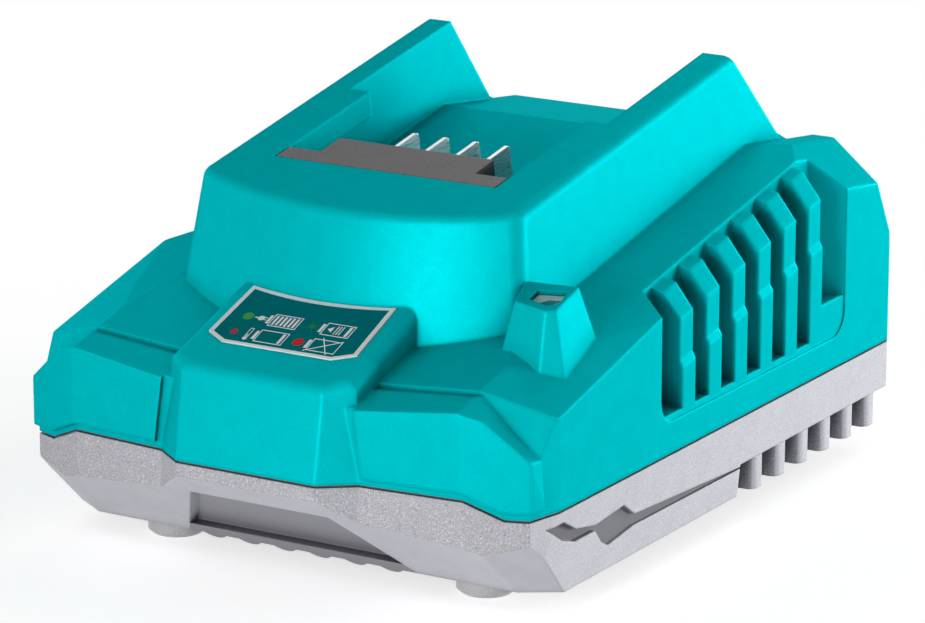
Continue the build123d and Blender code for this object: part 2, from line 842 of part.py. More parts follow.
with BuildPart() as upper_housing:
    add(outer_body)
    add(outer_tower)
    add(outer_nose)
    add(lens_wedge)
    add(pads)
    add(dock_space, mode=Mode.SUBTRACT)
    add(lips)
    add(hollow.part, mode=Mode.SUBTRACT)
    add(vent_recess_cut, mode=Mode.SUBTRACT)
    add(vent_bevel_cut, mode=Mode.SUBTRACT)
    add(vent_openings, mode=Mode.SUBTRACT)
    add(window_cut, mode=Mode.SUBTRACT)
    add(lens_seat, mode=Mode.SUBTRACT)
    add(label_seat, mode=Mode.SUBTRACT)
    add(spigot_hole, mode=Mode.SUBTRACT)
    add(lower_space, mode=Mode.SUBTRACT)
    add(pilot_holes, mode=Mode.SUBTRACT)
save(upper_housing, "upper_housing")

# Lower shell
seam_mass = below_seam(0)
seam_low_mass = below_seam(seam_groove)
nose_corner = [(nose_half, front_y)]
lower_blank = clipped(plan_prism((base_z, seam_front_z), 0, nose_corner), undercut_faces())
lower_hollow_blank = clipped(
    plan_prism((floor_z, seam_front_z + over), wall, nose_corner), undercut_faces(), wall,
)
rim_core = plan_prism((base_z, seam_front_z + over), seam_groove_depth, nose_corner)
relief = pan_relief(0)
inner_relief = pan_relief(wall)
recess_cut = front_recess(recess_depth, 0)
recess_wall = front_recess(recess_depth + wall, wall)
grooves = both_sides(side_groove())
lower_posts = post_set(post_radius, (base_z, post_joint_z))
post_holes = post_set(screw_radius + screw_fit, (base_z, post_joint_z))
head_holes = post_set(screw_head_radius + screw_fit, (0, screw_seat_z))
foot_seats = post_set(foot_spigot_radius + foot_fit, (0, base_z + foot_spigot_length))
standoffs = standoff_set(standoff_radius, (base_z, board_z))
standoff_holes = standoff_set(board_screw_radius + pilot_fit, (board_z - board_screw_length, board_z))
gland_boss = rear_cylinder(gland_seat_radius, (rear_y - 2 * gland_flange, rear_y - wall / 2))
gland_hole = rear_cylinder(gland_neck_radius + gland_fit, (board_rear_y, rear_y + over))
gland_pocket = rear_cylinder(gland_flange_radius + gland_fit, (rear_y - gland_flange, rear_y + over))

with BuildPart() as keels:
    with BuildSketch(Plane.XZ.offset(-front_y - keel_length)):
        for index in range(keel_count):
            with Locations(((index - (keel_count - 1) / 2) * keel_pitch, base_z - keel_depth + keel_radius)):
                Circle(keel_radius)
    extrude(amount=keel_length)
    split(bisect_by=undercut_faces()[0], keep=Keep.BOTTOM)

with BuildPart() as ribs:
    with BuildSketch(Plane.XY.offset(base_z)) as rib_plan:
        for index in range(rib_count):
            with Locations((pan_half + (rib_reach - wall) / 2, rib_first_y + index * rib_pitch)):
                Rectangle(rib_reach + wall, rib_width)
        fillet(rib_plan.vertices().group_by(Axis.X)[-1], rib_round)
    extrude(amount=strip_z - base_z)
    mirror(about=Plane.YZ)

with BuildPart() as rim_groove:
    add(seam_mass)
    add(seam_low_mass, mode=Mode.SUBTRACT)
    add(rim_core, mode=Mode.SUBTRACT)

with BuildPart() as lower_hollow:
    add(lower_hollow_blank)
    add(inner_relief, mode=Mode.SUBTRACT)
    add(recess_wall, mode=Mode.SUBTRACT)

with BuildPart() as lower_housing:
    add(lower_blank)
    add(seam_mass, mode=Mode.INTERSECT)
    add(relief, mode=Mode.SUBTRACT)
    add(keels.part)
    add(recess_cut, mode=Mode.SUBTRACT)
    add(grooves, mode=Mode.SUBTRACT)
    add(rim_groove.part, mode=Mode.SUBTRACT)
    add(lower_hollow.part, mode=Mode.SUBTRACT)
    add(ribs.part)
    add(lower_posts)
    add(standoffs)
    add(gland_boss)
    add(post_holes, mode=Mode.SUBTRACT)
    add(head_holes, mode=Mode.SUBTRACT)
    add(foot_seats, mode=Mode.SUBTRACT)
    add(standoff_holes, mode=Mode.SUBTRACT)
    add(gland_hole, mode=Mode.SUBTRACT)
    add(gland_pocket, mode=Mode.SUBTRACT)
save(lower_housing, "lower_housing")

# Contact carrier with a slot for each blade
blade_start = channel_start + block_body_length - blade_root
blade_end = channel_start + block_body_length + blade_reach
blade_low = blade_top_depth + blade_height
tail_end = channel_depth + wall + blade_tail_length
block_front = channel_start + block_fit
block_parts = [
    dock_box(
        (-block_body_half, block_body_half), (block_front, channel_start + block_body_length),
        (0, channel_depth),
    ),
    dock_box(
        (-block_wing_half, block_wing_half), (block_front, channel_start + block_wing_length),
        (0, channel_depth),
    ),
    dock_box(
        (-block_foot_half, block_foot_half), (block_front, channel_start + block_foot_length),
        (channel_depth - block_foot_thickness, channel_depth),
    ),
    dock_box(
        (-block_spigot_half, block_spigot_half), (spigot_start, spigot_end),
        (channel_depth, channel_depth + wall),
    ),
]
blade_slots = []
for x in blade_places:
    half_slot = blade_thickness / 2 + blade_fit
    blade_slots.append(dock_box(
        (x - half_slot, x + half_slot), (blade_start - blade_fit, blade_end),
        (blade_top_depth - blade_fit, blade_low + blade_fit),
    ))
    blade_slots.append(dock_box(
        (x - half_slot, x + half_slot), (blade_start - blade_fit, blade_start + blade_tail_width + blade_fit),
        (blade_low, tail_end),
    ))

with BuildPart() as terminal_block:
    for piece in block_parts:
        add(piece)
    for slot in blade_slots:
        add(slot, mode=Mode.SUBTRACT)
save(terminal_block, "terminal_block")

for number, x in enumerate(blade_places, start=1):
    side = (x - blade_thickness / 2, x + blade_thickness / 2)
    blade_bar = dock_box(side, (blade_start, blade_end), (blade_top_depth, blade_low))
    blade_tail = dock_box(side, (blade_start, blade_start + blade_tail_width), (blade_low, tail_end))
    with BuildPart() as contact_blade:
        add(blade_bar)
        add(blade_tail)
        fillet(contact_blade.edges().filter_by(Axis.X).sort_by(Axis.Y)[-2:], blade_end_round)
    save(contact_blade, f"contact_blade_{number}")

# Status label and light guide
with BuildPart() as indicator_label:
    add(label_body)
save(indicator_label, "indicator_label")

with BuildPart() as light_guide:
    add(lens_solid(0, -lens_sink, lamp_top + lamp_gap))
save(light_guide, "light_guide")

# Round rubber feet and the housing screws hidden above them
foot_names = ["foot_front_left", "foot_rear_left", "foot_front_right", "foot_rear_right"]
for name, place in zip(foot_names, screw_places):
    with BuildPart() as foot:
        with BuildSketch():
            with Locations(place):
                Circle(foot_radius)
        extrude(amount=foot_height)
        chamfer(foot.faces().sort_by(Axis.Z)[0].edges(), foot_edge)
        with BuildSketch(Plane.XY.offset(foot_height)):
            with Locations(place):
                Circle(foot_spigot_radius)
        extrude(amount=foot_spigot_length)
    save(foot, name)

with BuildPart() as housing_screws:
    with BuildSketch(Plane.XY.offset(screw_seat_z - screw_head_height)):
        with Locations(*screw_places):
            Circle(screw_head_radius)
    extrude(amount=screw_head_height)
    with BuildSketch(Plane.XY.offset(screw_seat_z)):
        with Locations(*screw_places):
            Circle(screw_radius)
    extrude(amount=post_joint_z + screw_bite - screw_seat_z)
save(housing_screws, "housing_screws")

# Cord inlet bushing: a flange outside, a neck in the wall and a flange inside
with BuildPart() as cord_gland:
    add(rear_cylinder(gland_flange_radius, (rear_y - gland_flange, rear_y)))
    add(rear_cylinder(gland_neck_radius, (rear_y - 2 * gland_flange, rear_y - gland_flange)))
    add(rear_cylinder(gland_inner_radius, (rear_y - 3 * gland_flange, rear_y - 2 * gland_flange)))
    add(rear_cylinder(gland_bore_radius, (board_rear_y, rear_y + over)), mode=Mode.SUBTRACT)
    fillet(cord_gland.faces().sort_by(Axis.Y)[-1].edges(), gland_mouth_round)
save(cord_gland, "cord_gland")

# Main board, notched around the screw posts
board_notches = post_set(post_radius + post_gap, (board_z - over, board_top + over))
board_holes = standoff_set(board_screw_radius + screw_fit, (board_z - over, board_top + over))
with BuildPart() as main_board:
    with BuildSketch(Plane.XY.offset(board_z)):
        with Locations((0, (board_front_y + board_rear_y) / 2)):
            Rectangle(2 * board_half, board_rear_y - board_front_y)
    extrude(amount=board_thickness)
    add(board_notches, mode=Mode.SUBTRACT)
    add(board_holes, mode=Mode.SUBTRACT)
save(main_board, "main_board")

with BuildPart() as board_screws:
    add(standoff_set(board_screw_head_radius, (board_top, board_top + board_screw_head)))
    add(standoff_set(board_screw_radius, (board_z - board_screw_length, board_top)))
save(board_screws, "board_screws")

# Transformer: a core with two windows and the winding around its middle leg
with BuildPart() as transformer_core:
    with Locations((*transformer_place, board_top)):
        Box(*core_size, align=(Align.CENTER, Align.CENTER, Align.MIN))
    for side in (-1, 1):
        window_x = transformer_place[0] + side * (core_leg + core_window[0]) / 2
        with Locations((window_x, transformer_place[1], board_top + core_size[2] / 2)):
            Box(core_window[0], core_size[1], core_window[1], mode=Mode.SUBTRACT)
save(transformer_core, "transformer_core")

winding_width = core_leg + 2 * core_window[0] - 2 * winding_fit
with BuildPart() as transformer_winding:
    with Locations((*transformer_place, board_top + core_size[2] / 2)):
        Box(winding_width, winding_depth, core_window[1] - winding_fit)
        Box(core_leg + winding_fit, core_size[1] + winding_fit, core_window[1], mode=Mode.SUBTRACT)
    fillet(transformer_winding.edges().filter_by(Axis.Z).group_by(Axis.Y)[0], winding_corner)
    fillet(transformer_winding.edges().filter_by(Axis.Z).group_by(Axis.Y)[-1], winding_corner)
save(transformer_winding, "transformer_winding")

# Mains side: cord terminal, fuse, filter capacitor, choke and rectifier
with BuildPart() as cord_terminal:
    with Locations((*cord_terminal_place, board_top)):
        Box(*cord_terminal_size, align=(Align.CENTER, Align.CENTER, Align.MIN))
    with Locations((*cord_terminal_place, board_top + cord_terminal_size[2])):
        with GridLocations(cord_terminal_pitch, 1, 2, 1):
            Hole(cord_terminal_hole_radius, depth=cord_terminal_hole_depth)
save(cord_terminal, "cord_terminal")

fuse_z = board_top + fuse_lift + fuse_radius
with BuildPart() as mains_fuse:
    with BuildSketch(Plane.YZ.offset(fuse_place[0] - fuse_length / 2)):
        with Locations((fuse_place[1], fuse_z)):
            Circle(fuse_radius)
    extrude(amount=fuse_length)
save(mains_fuse, "mains_fuse")

clip_height = fuse_lift + 2 * fuse_radius
with BuildPart() as fuse_clips:
    for side in (-1, 1):
        clip_x = fuse_place[0] + side * (fuse_length - fuse_clip_width) / 2
        with Locations((clip_x, fuse_place[1], board_top)):
            Box(
                fuse_clip_width, 2 * (fuse_radius + fuse_clip_side), clip_height,
                align=(Align.CENTER, Align.CENTER, Align.MIN),
            )
        with Locations((clip_x, fuse_place[1], fuse_z)):
            Box(
                fuse_clip_width, 2 * fuse_radius + pilot_fit, clip_height,
                align=(Align.CENTER, Align.CENTER, Align.MIN), mode=Mode.SUBTRACT,
            )
            Cylinder(fuse_radius + pilot_fit, fuse_clip_width, rotation=(0, 90, 0), mode=Mode.SUBTRACT)
save(fuse_clips, "fuse_clips")

with BuildPart() as filter_capacitor:
    with Locations((*filter_place, board_top)):
        Box(*filter_size, align=(Align.CENTER, Align.CENTER, Align.MIN))
    fillet(filter_capacitor.edges().filter_by(Axis.Z), filter_corner)
save(filter_capacitor, "filter_capacitor")

with BuildPart() as line_choke:
    with Locations((*choke_place, board_top)):
        Cylinder(choke_radius - choke_base, choke_base, align=(Align.CENTER, Align.CENTER, Align.MIN))
    with BuildSketch(Plane.XY.offset(board_top + choke_base)):
        with Locations(choke_place):
            Circle(choke_radius)
            Circle(choke_bore_radius, mode=Mode.SUBTRACT)
            with PolarLocations(choke_radius, choke_turns):
                Circle(choke_wire, mode=Mode.SUBTRACT)
    extrude(amount=choke_height)
save(line_choke, "line_choke")

with BuildPart() as bridge_rectifier:
    with Locations((*bridge_place, board_top + device_leg_height)):
        Box(*bridge_size, align=(Align.CENTER, Align.CENTER, Align.MIN))
    chamfer(bridge_rectifier.edges().filter_by(Axis.Y).sort_by(Axis.Z)[-1], bridge_corner)
    with Locations((*bridge_place, board_top)):
        with GridLocations((bridge_size[0] - device_leg_pitch) / 3, 1, 4, 1):
            Box(device_leg, device_leg, device_leg_height, align=(Align.CENTER, Align.CENTER, Align.MIN))
save(bridge_rectifier, "bridge_rectifier")


def round_capacitor(place, radius, height):
    # An upright can with the rolled groove near its foot
    with BuildPart() as can:
        with Locations((*place, board_top)):
            Cylinder(radius, height, align=(Align.CENTER, Align.CENTER, Align.MIN))
        fillet(can.faces().sort_by(Axis.Z)[-1].edges(), capacitor_groove)
        with BuildSketch(Plane.XY.offset(board_top + height / 8)):
            with Locations(place):
                Circle(radius)
                Circle(radius - capacitor_groove, mode=Mode.SUBTRACT)
        extrude(amount=2 * capacitor_groove, mode=Mode.SUBTRACT)
    return can


save(
    round_capacitor(primary_capacitor_place, primary_capacitor_radius, primary_capacitor_height),
    "primary_capacitor",
)
for number, place in enumerate(output_capacitor_places, start=1):
    save(
        round_capacitor(place, output_capacitor_radius, output_capacitor_height),
        f"output_capacitor_{number}",
    )

# Power devices, each on its finned heatsink; the output pair stands on the right
sink_names = [("heatsink_primary", "switching_transistor", -1), ("heatsink_output", "output_rectifier", 1)]
for (sink_name, device_name, side), y in zip(sink_names, heatsink_ys):
    plate_x = side * heatsink_x
    fin_x = plate_x + side * (heatsink_plate + heatsink_fin_depth) / 2
    fin_pitch = (heatsink_width - heatsink_fin_thickness) / (heatsink_fin_count - 1)
    device_x = plate_x - side * heatsink_plate / 2
    with BuildPart() as heatsink:
        with BuildSketch(Plane.XY.offset(board_top)):
            with Locations((plate_x, y)):
                Rectangle(heatsink_plate, heatsink_width)
            with Locations((fin_x, y)):
                with GridLocations(1, fin_pitch, 1, heatsink_fin_count):
                    Rectangle(heatsink_fin_depth, heatsink_fin_thickness)
        extrude(amount=heatsink_height)
    save(heatsink, sink_name)
    with BuildPart() as device:
        with Locations((device_x - side * device_size[0] / 2, y, board_top + device_leg_height)):
            Box(*device_size, align=(Align.CENTER, Align.CENTER, Align.MIN))
        with Locations((device_x - side * device_tab_thickness / 2, y, board_top + device_leg_height)):
            Box(
                device_tab_thickness, device_size[1], device_tab_height,
                align=(Align.CENTER, Align.CENTER, Align.MIN),
            )
        with Locations((device_x - side * device_size[0] / 2, y, board_top)):
            with GridLocations(1, device_leg_pitch, 1, 3):
                Box(device_leg, device_leg, device_leg_height, align=(Align.CENTER, Align.CENTER, Align.MIN))
    save(device, device_name)

# Small parts of the control side
for name, place, size in [
    ("optocoupler", optocoupler_place, optocoupler_size),
    ("controller_chip", controller_place, controller_size),
]:
    with BuildPart() as chip:
        with Locations((*place, board_top)):
            Box(*size, align=(Align.CENTER, Align.CENTER, Align.MIN))
        chamfer(chip.faces().sort_by(Axis.Z)[-1].edges(), size[2] / 6)
    save(chip, name)

with BuildPart() as status_lamp:
    with Locations((lens_x, lens_y, board_top)):
        Cylinder(lamp_radius, lamp_height, align=(Align.CENTER, Align.CENTER, Align.MIN))
    fillet(status_lamp.faces().sort_by(Axis.Z)[-1].edges(), lamp_tip_round)
    with Locations((lens_x, lens_y, board_top)):
        Cylinder(lamp_base_radius, lamp_base_height, align=(Align.CENTER, Align.CENTER, Align.MIN))
save(status_lamp, "status_lamp")

# Plug and socket, and the wires from the plug up to the blade tails
plug_base = board_top + socket_size[2]
plug_top = plug_base + plug_size[2]
with BuildPart() as output_socket:
    with Locations((0, socket_y, board_top)):
        Box(*socket_size, align=(Align.CENTER, Align.CENTER, Align.MIN))
save(output_socket, "output_socket")

with BuildPart() as output_plug:
    with Locations((0, socket_y, plug_base)):
        Box(*plug_size, align=(Align.CENTER, Align.CENTER, Align.MIN))
save(output_plug, "output_plug")

for number, x in enumerate(blade_places, start=1):
    tail_middle = blade_start + blade_tail_width / 2
    plug_x = (number - (blade_count + 1) / 2) * socket_pitch
    route = [
        dock_point(x, tail_middle, tail_end),
        dock_point(x, tail_middle, tail_end + wire_straight),
        (plug_x, socket_y, plug_top + wire_straight),
        (plug_x, socket_y, plug_top),
    ]
    with BuildPart() as output_wire:
        with BuildLine() as wire_path:
            FilletPolyline(*route, radius=wire_bend_radius)
        with BuildSketch(Plane(origin=wire_path.line @ 0, z_dir=wire_path.line % 0)):
            Circle(wire_radius)
        sweep()
    save(output_wire, f"output_wire_{number}")
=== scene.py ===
import bmesh
import bpy
import math
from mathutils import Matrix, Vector


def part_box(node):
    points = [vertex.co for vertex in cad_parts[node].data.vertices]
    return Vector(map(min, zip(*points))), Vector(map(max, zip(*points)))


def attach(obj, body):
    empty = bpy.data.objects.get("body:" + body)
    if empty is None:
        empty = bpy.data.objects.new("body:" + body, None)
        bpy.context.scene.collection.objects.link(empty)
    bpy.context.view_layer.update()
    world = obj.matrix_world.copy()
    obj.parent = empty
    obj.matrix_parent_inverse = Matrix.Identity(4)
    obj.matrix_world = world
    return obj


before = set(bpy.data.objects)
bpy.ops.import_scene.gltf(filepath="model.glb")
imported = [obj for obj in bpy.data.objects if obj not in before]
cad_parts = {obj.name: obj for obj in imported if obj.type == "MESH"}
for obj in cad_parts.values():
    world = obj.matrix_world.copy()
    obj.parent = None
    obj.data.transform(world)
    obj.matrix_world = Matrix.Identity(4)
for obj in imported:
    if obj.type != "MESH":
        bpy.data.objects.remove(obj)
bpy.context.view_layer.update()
print("frame loaded:", len(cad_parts), "nodes")

mm = 0.001


# Shader helpers
def newMaterial(name):
    mat = bpy.data.materials.new(name)
    mat.use_nodes = True
    tree = mat.node_tree
    tree.nodes.clear()
    out = tree.nodes.new("ShaderNodeOutputMaterial")
    bsdf = tree.nodes.new("ShaderNodeBsdfPrincipled")
    tree.links.new(bsdf.outputs["BSDF"], out.inputs["Surface"])
    return mat, tree, bsdf


def objectPlace(tree):
    return tree.nodes.new("ShaderNodeTexCoord").outputs["Object"]


def mathNode(tree, operation, first, second=None):
    # first and second are numbers or sockets
    node = tree.nodes.new("ShaderNodeMath")
    node.operation = operation
    for index, value in enumerate((first, second)):
        if isinstance(value, (int, float)):
            node.inputs[index].default_value = value
        elif value is not None:
            tree.links.new(value, node.inputs[index])
    return node.outputs["Value"]


def vectorNode(tree, operation, first, second=None):
    # first is a socket, second a socket or three numbers
    node = tree.nodes.new("ShaderNodeVectorMath")
    node.operation = operation
    tree.links.new(first, node.inputs[0])
    if isinstance(second, tuple):
        node.inputs[1].default_value = second
    elif second is not None:
        tree.links.new(second, node.inputs[1])
    return node.outputs["Value" if operation in ("DOT_PRODUCT", "LENGTH") else "Vector"]


def splitAxes(tree, vector):
    parts = tree.nodes.new("ShaderNodeSeparateXYZ")
    tree.links.new(vector, parts.inputs["Vector"])
    return parts.outputs["X"], parts.outputs["Y"], parts.outputs["Z"]


def grainNoise(tree, size, detail=2.0, stretch=(1, 1, 1)):
    # noise whose lumps are about the given size in metres
    mapping = tree.nodes.new("ShaderNodeMapping")
    mapping.inputs["Scale"].default_value = [1 / (size * part) for part in stretch]
    noise = tree.nodes.new("ShaderNodeTexNoise")
    noise.inputs["Scale"].default_value = 1.0
    noise.inputs["Detail"].default_value = detail
    tree.links.new(objectPlace(tree), mapping.inputs["Vector"])
    tree.links.new(mapping.outputs["Vector"], noise.inputs["Vector"])
    return noise.outputs["Fac"]


def remap(tree, value, low, high, toLow, toHigh):
    node = tree.nodes.new("ShaderNodeMapRange")
    for name, number in (("From Min", low), ("From Max", high), ("To Min", toLow), ("To Max", toHigh)):
        node.inputs[name].default_value = number
    tree.links.new(value, node.inputs["Value"])
    return node.outputs["Result"]


def blend(tree, factor, first, second):
    # first and second are colours or colour sockets
    node = tree.nodes.new("ShaderNodeMix")
    node.data_type = "RGBA"
    tree.links.new(factor, node.inputs["Factor"])
    for socket, colour in ((node.inputs["A"], first), (node.inputs["B"], second)):
        if isinstance(colour, tuple):
            socket.default_value = (*colour, 1.0)
        else:
            tree.links.new(colour, socket)
    return node.outputs["Result"]


samples = {"edge": 4, "crevice": 6}  # rays that each shaded point sends for its edges and crevices


def roundedNormal(tree, radius):
    edge = tree.nodes.new("ShaderNodeBevel")
    edge.samples = samples["edge"]
    edge.inputs["Radius"].default_value = radius
    return edge.outputs["Normal"]


def bumpFrom(tree, height, depth, bsdf, roundEdge=0.0):
    bump = tree.nodes.new("ShaderNodeBump")
    bump.inputs["Strength"].default_value = 1.0
    bump.inputs["Distance"].default_value = depth
    tree.links.new(height, bump.inputs["Height"])
    if roundEdge:
        tree.links.new(roundedNormal(tree, roundEdge), bump.inputs["Normal"])
    tree.links.new(bump.outputs["Normal"], bsdf.inputs["Normal"])


def dress(nodeNames, mat):
    for nodeName in nodeNames:
        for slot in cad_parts[nodeName].material_slots:
            slot.material = mat


# Moulded plastic: fine grain, a little cloudiness, bright and dark flecks, a painted highlight along edges
# and painted shade in crevices.
# Sizes count in grains. A pair is the value of the noise or shading at which a layer starts and is full.
moulded = {
    "cloudSize": 14, "cloud": (0.35, 0.65), "fleckSize": 0.6, "lightFlecks": (0.66, 0.74),
    "darkFlecks": (0.34, 0.26), "grain": (0.3, 0.7), "roughSpread": 0.08,
    # crevice and edge say where the painted shade in crevices and the painted highlight along edges start
    # and are full
    "crevice": (0.8, 0.2), "edge": (0.985, 0.9),
}


def creviceShadeMask(tree, reach):
    # 1 deep in a slot or corner, 0 on open faces; it places painted shade in slots and corners
    shade = tree.nodes.new("ShaderNodeAmbientOcclusion")
    shade.samples = samples["crevice"]
    shade.inputs["Distance"].default_value = reach
    return remap(tree, shade.outputs["AO"], *moulded["crevice"], 0, 1)


def edgeHighlightMask(tree, reach):
    # 1 along outer and inner edges, 0 on flat faces; it places a painted highlight along edges
    flat = tree.nodes.new("ShaderNodeNewGeometry").outputs["Normal"]
    likeness = vectorNode(tree, "DOT_PRODUCT", roundedNormal(tree, reach), flat)
    return remap(tree, likeness, *moulded["edge"], 0, 1)


def plasticLook(name, look):
    mat, tree, bsdf = newMaterial(name)
    cloud = grainNoise(tree, look["grain"] * moulded["cloudSize"], detail=1.0)
    grain = grainNoise(tree, look["grain"], detail=3.0)
    flecks = grainNoise(tree, look["grain"] * moulded["fleckSize"], detail=0.0)
    colour = blend(tree, remap(tree, cloud, *moulded["cloud"], 0, 1), look["colour"], look["shade"])
    for tone in ("light", "dark"):
        share = remap(tree, flecks, *moulded[tone + "Flecks"], 0, look["fleck"])
        colour = blend(tree, share, colour, look[tone])
    # painted highlight: edges are lightened as if their rounding caught the light
    if "edge" in look:
        paintedHighlight = remap(tree, edgeHighlightMask(tree, look["edgeReach"]), 0, 1, 0, look["edgeHighlightShare"])
        colour = blend(tree, paintedHighlight, colour, look["edge"])
    # painted shade: slots and corners are darkened as if shaded
    if "crevice" in look:
        colour = blend(tree, creviceShadeMask(tree, look["creviceReach"]), colour, look["crevice"])
    tree.links.new(colour, bsdf.inputs["Base Color"])
    low, high = look["rough"] - moulded["roughSpread"], look["rough"] + moulded["roughSpread"]
    tree.links.new(remap(tree, grain, *moulded["grain"], low, high), bsdf.inputs["Roughness"])
    bsdf.inputs["Specular IOR Level"].default_value = look["gloss"]
    bumpFrom(tree, grain, look["bump"], bsdf, look["roundEdge"])
    return mat, tree, bsdf


def tones(colour, shade, light, dark, lift=0.0):
    # the duller, brighter and darker colours that go with one colour
    return {
        "shade": tuple(shade * part for part in colour), "dark": tuple(dark * part for part in colour),
        "light": tuple(min(1.0, light * part + lift) for part in colour),
    }


# Upper shell: satin teal with a fine sparkle
tealShell = {
    "colour": (0.0, 0.50, 0.54), "shade": (0.0, 0.48, 0.52), "light": (0.0, 0.66, 0.70),
    "dark": (0.0, 0.41, 0.45), "grain": 0.30 * mm, "fleck": 0.5, "rough": 0.46, "gloss": 0.0,
    "bump": 0.02 * mm, "roundEdge": 1.0 * mm, "pearl": 0.3, "edgeTint": (0.0, 0.8, 0.86),
    # crevice is the painted shade colour in slots and corners, edge the painted highlight colour along
    # edges
    "crevice": (0.0, 0.045, 0.052), "creviceReach": 7 * mm,
    "edge": (0.0, 0.74, 0.79), "edgeReach": 0.55 * mm, "edgeHighlightShare": 0.9,
}
tealMat, _, tealSurface = plasticLook("tealShell", tealShell)
tealSurface.inputs["Metallic"].default_value = tealShell["pearl"]
tealSurface.inputs["Specular Tint"].default_value = (*tealShell["edgeTint"], 1)
dress(["upper_housing"], tealMat)
print("upper shell dressed")

# Lower shell: pale grey, finely dotted on the sides and coarsely speckled across the front
greyShell = {
    "colour": (0.66, 0.66, 0.715), "shade": (0.62, 0.62, 0.675), "light": (0.78, 0.77, 0.82),
    "dark": (0.50, 0.49, 0.54), "grain": 0.35 * mm, "fleck": 0.45, "rough": 0.5, "gloss": 0.3,
    # crevice is the painted shade colour in slots and corners, edge the painted highlight colour along
    # edges
    "bump": 0.015 * mm, "roundEdge": 0.6 * mm, "crevice": (0.06, 0.06, 0.07), "creviceReach": 6 * mm,
    "edge": (0.80, 0.80, 0.84), "edgeReach": 0.35 * mm, "edgeHighlightShare": 0.6,
}
# facing is how far a face must turn to the front, or to the side, to wear the dots
frontBand = {
    "base": (0.47, 0.465, 0.50), "light": (0.68, 0.68, 0.71), "dark": (0.33, 0.33, 0.35), "share": 1,
    "speckle": 0.30 * mm, "lightDots": (0.56, 0.68), "darkDots": (0.42, 0.32), "facing": (0.72, 0.80),
}
sideGrain = {"light": (0.84, 0.84, 0.88), "dark": (0.50, 0.50, 0.54), "share": 0.75, "facing": (0.6, 0.8)}
# painted shade in the hollow under the middle of the front, darker towards its low level: half widths at
# its top and low levels, and its floor's normal
frontHollow = {
    "topHalf": 15.6 * mm, "topLevel": 17.9 * mm, "lowHalf": 26.3 * mm, "lowLevel": 4.4 * mm,
    "normal": (0, -0.6703, -0.7421), "likeness": (0.97, 0.99), "soft": 0.1 * mm,
    "top": (0.36, 0.36, 0.39), "low": (0.28, 0.28, 0.31),
}
# painted shade on the floors of the side grooves, at one distance from the middle of the shell
sideGroove = {
    "floorHalf": 55.5 * mm, "reach": (0.15 * mm, 0.1 * mm), "upright": (0.996, 0.9985),
    "colour": (0.19, 0.19, 0.21),
}


def hollowShadeMask(tree, normal, width, height):
    # 1 on the slanted floor of the front hollow, 0 elsewhere: where its painted shade goes
    soft, top = frontHollow["soft"], frontHollow["topLevel"]
    likeness = vectorNode(tree, "DOT_PRODUCT", normal, frontHollow["normal"])
    slanted = remap(tree, likeness, *frontHollow["likeness"], 0, 1)
    half = remap(tree, height, frontHollow["lowLevel"], top, frontHollow["lowHalf"], frontHollow["topHalf"])
    within = remap(tree, mathNode(tree, "SUBTRACT", half, width), -soft, soft, 0, 1)
    below = remap(tree, height, top + soft, top - soft, 0, 1)
    return mathNode(tree, "MULTIPLY", mathNode(tree, "MULTIPLY", slanted, within), below)


def grooveShadeMask(tree, sideways, width):
    # 1 on the upright floors of the side grooves, 0 elsewhere: where their painted shade goes
    upright = remap(tree, sideways, *sideGroove["upright"], 0, 1)
    offset = mathNode(tree, "ABSOLUTE", mathNode(tree, "SUBTRACT", width, sideGroove["floorHalf"]))
    return mathNode(tree, "MULTIPLY", upright, remap(tree, offset, *sideGroove["reach"], 0, 1))


def dotted(tree, speckle, base, look):
    # light and dark dots over the base colour
    colour = base
    for tone in ("light", "dark"):
        share = remap(tree, speckle, *frontBand[tone + "Dots"], 0, look["share"])
        colour = blend(tree, share, colour, look[tone])
    return colour


def greyLook():
    mat, tree, bsdf = plasticLook("greyShell", greyShell)
    plain = bsdf.inputs["Base Color"].links[0].from_socket
    speckle = grainNoise(tree, frontBand["speckle"], detail=1.0)
    normal = tree.nodes.new("ShaderNodeNewGeometry").outputs["True Normal"]
    turnX, turnY, _ = splitAxes(tree, normal)
    sideways = mathNode(tree, "ABSOLUTE", turnX)
    placeX, _, height = splitAxes(tree, objectPlace(tree))
    width = mathNode(tree, "ABSOLUTE", placeX)
    onSide = remap(tree, sideways, *sideGrain["facing"], 0, 1)
    colour = blend(tree, onSide, plain, dotted(tree, speckle, plain, sideGrain))
    # painted shade in the front hollow, darker towards the bottom
    depth = remap(tree, height, frontHollow["lowLevel"], frontHollow["topLevel"], 0, 1)
    hollow = blend(tree, depth, frontHollow["low"], frontHollow["top"])
    colour = blend(tree, hollowShadeMask(tree, normal, width, height), colour, hollow)
    # painted shade on the floors of the side grooves
    colour = blend(tree, grooveShadeMask(tree, sideways, width), colour, sideGroove["colour"])
    band = dotted(tree, speckle, frontBand["base"], frontBand)
    # painted shade in the crevices of the front band
    band = blend(tree, creviceShadeMask(tree, greyShell["creviceReach"]), band, greyShell["crevice"])
    start, full = frontBand["facing"]
    colour = blend(tree, remap(tree, turnY, -start, -full, 0, 1), colour, band)
    tree.links.new(colour, bsdf.inputs["Base Color"])
    return mat


dress(["lower_housing"], greyLook())
print("lower shell dressed")

# Small plastics and rubbers
smallPlastic = {"fleck": 0.5, "bump": 0.015 * mm, "roundEdge": 0.25 * mm}
smallTones = {"shade": 0.93, "light": 1.25, "dark": 0.75, "lift": 0.02}


def plainPlastic(name, look):
    return plasticLook(name, {**smallPlastic, **look, **tones(look["colour"], **smallTones)})[0]


carrierPlastic = {"colour": (0.075, 0.07, 0.075), "rough": 0.5, "gloss": 0.45, "grain": 0.5 * mm}
dress(["terminal_block"], plainPlastic("carrierPlastic", carrierPlastic))

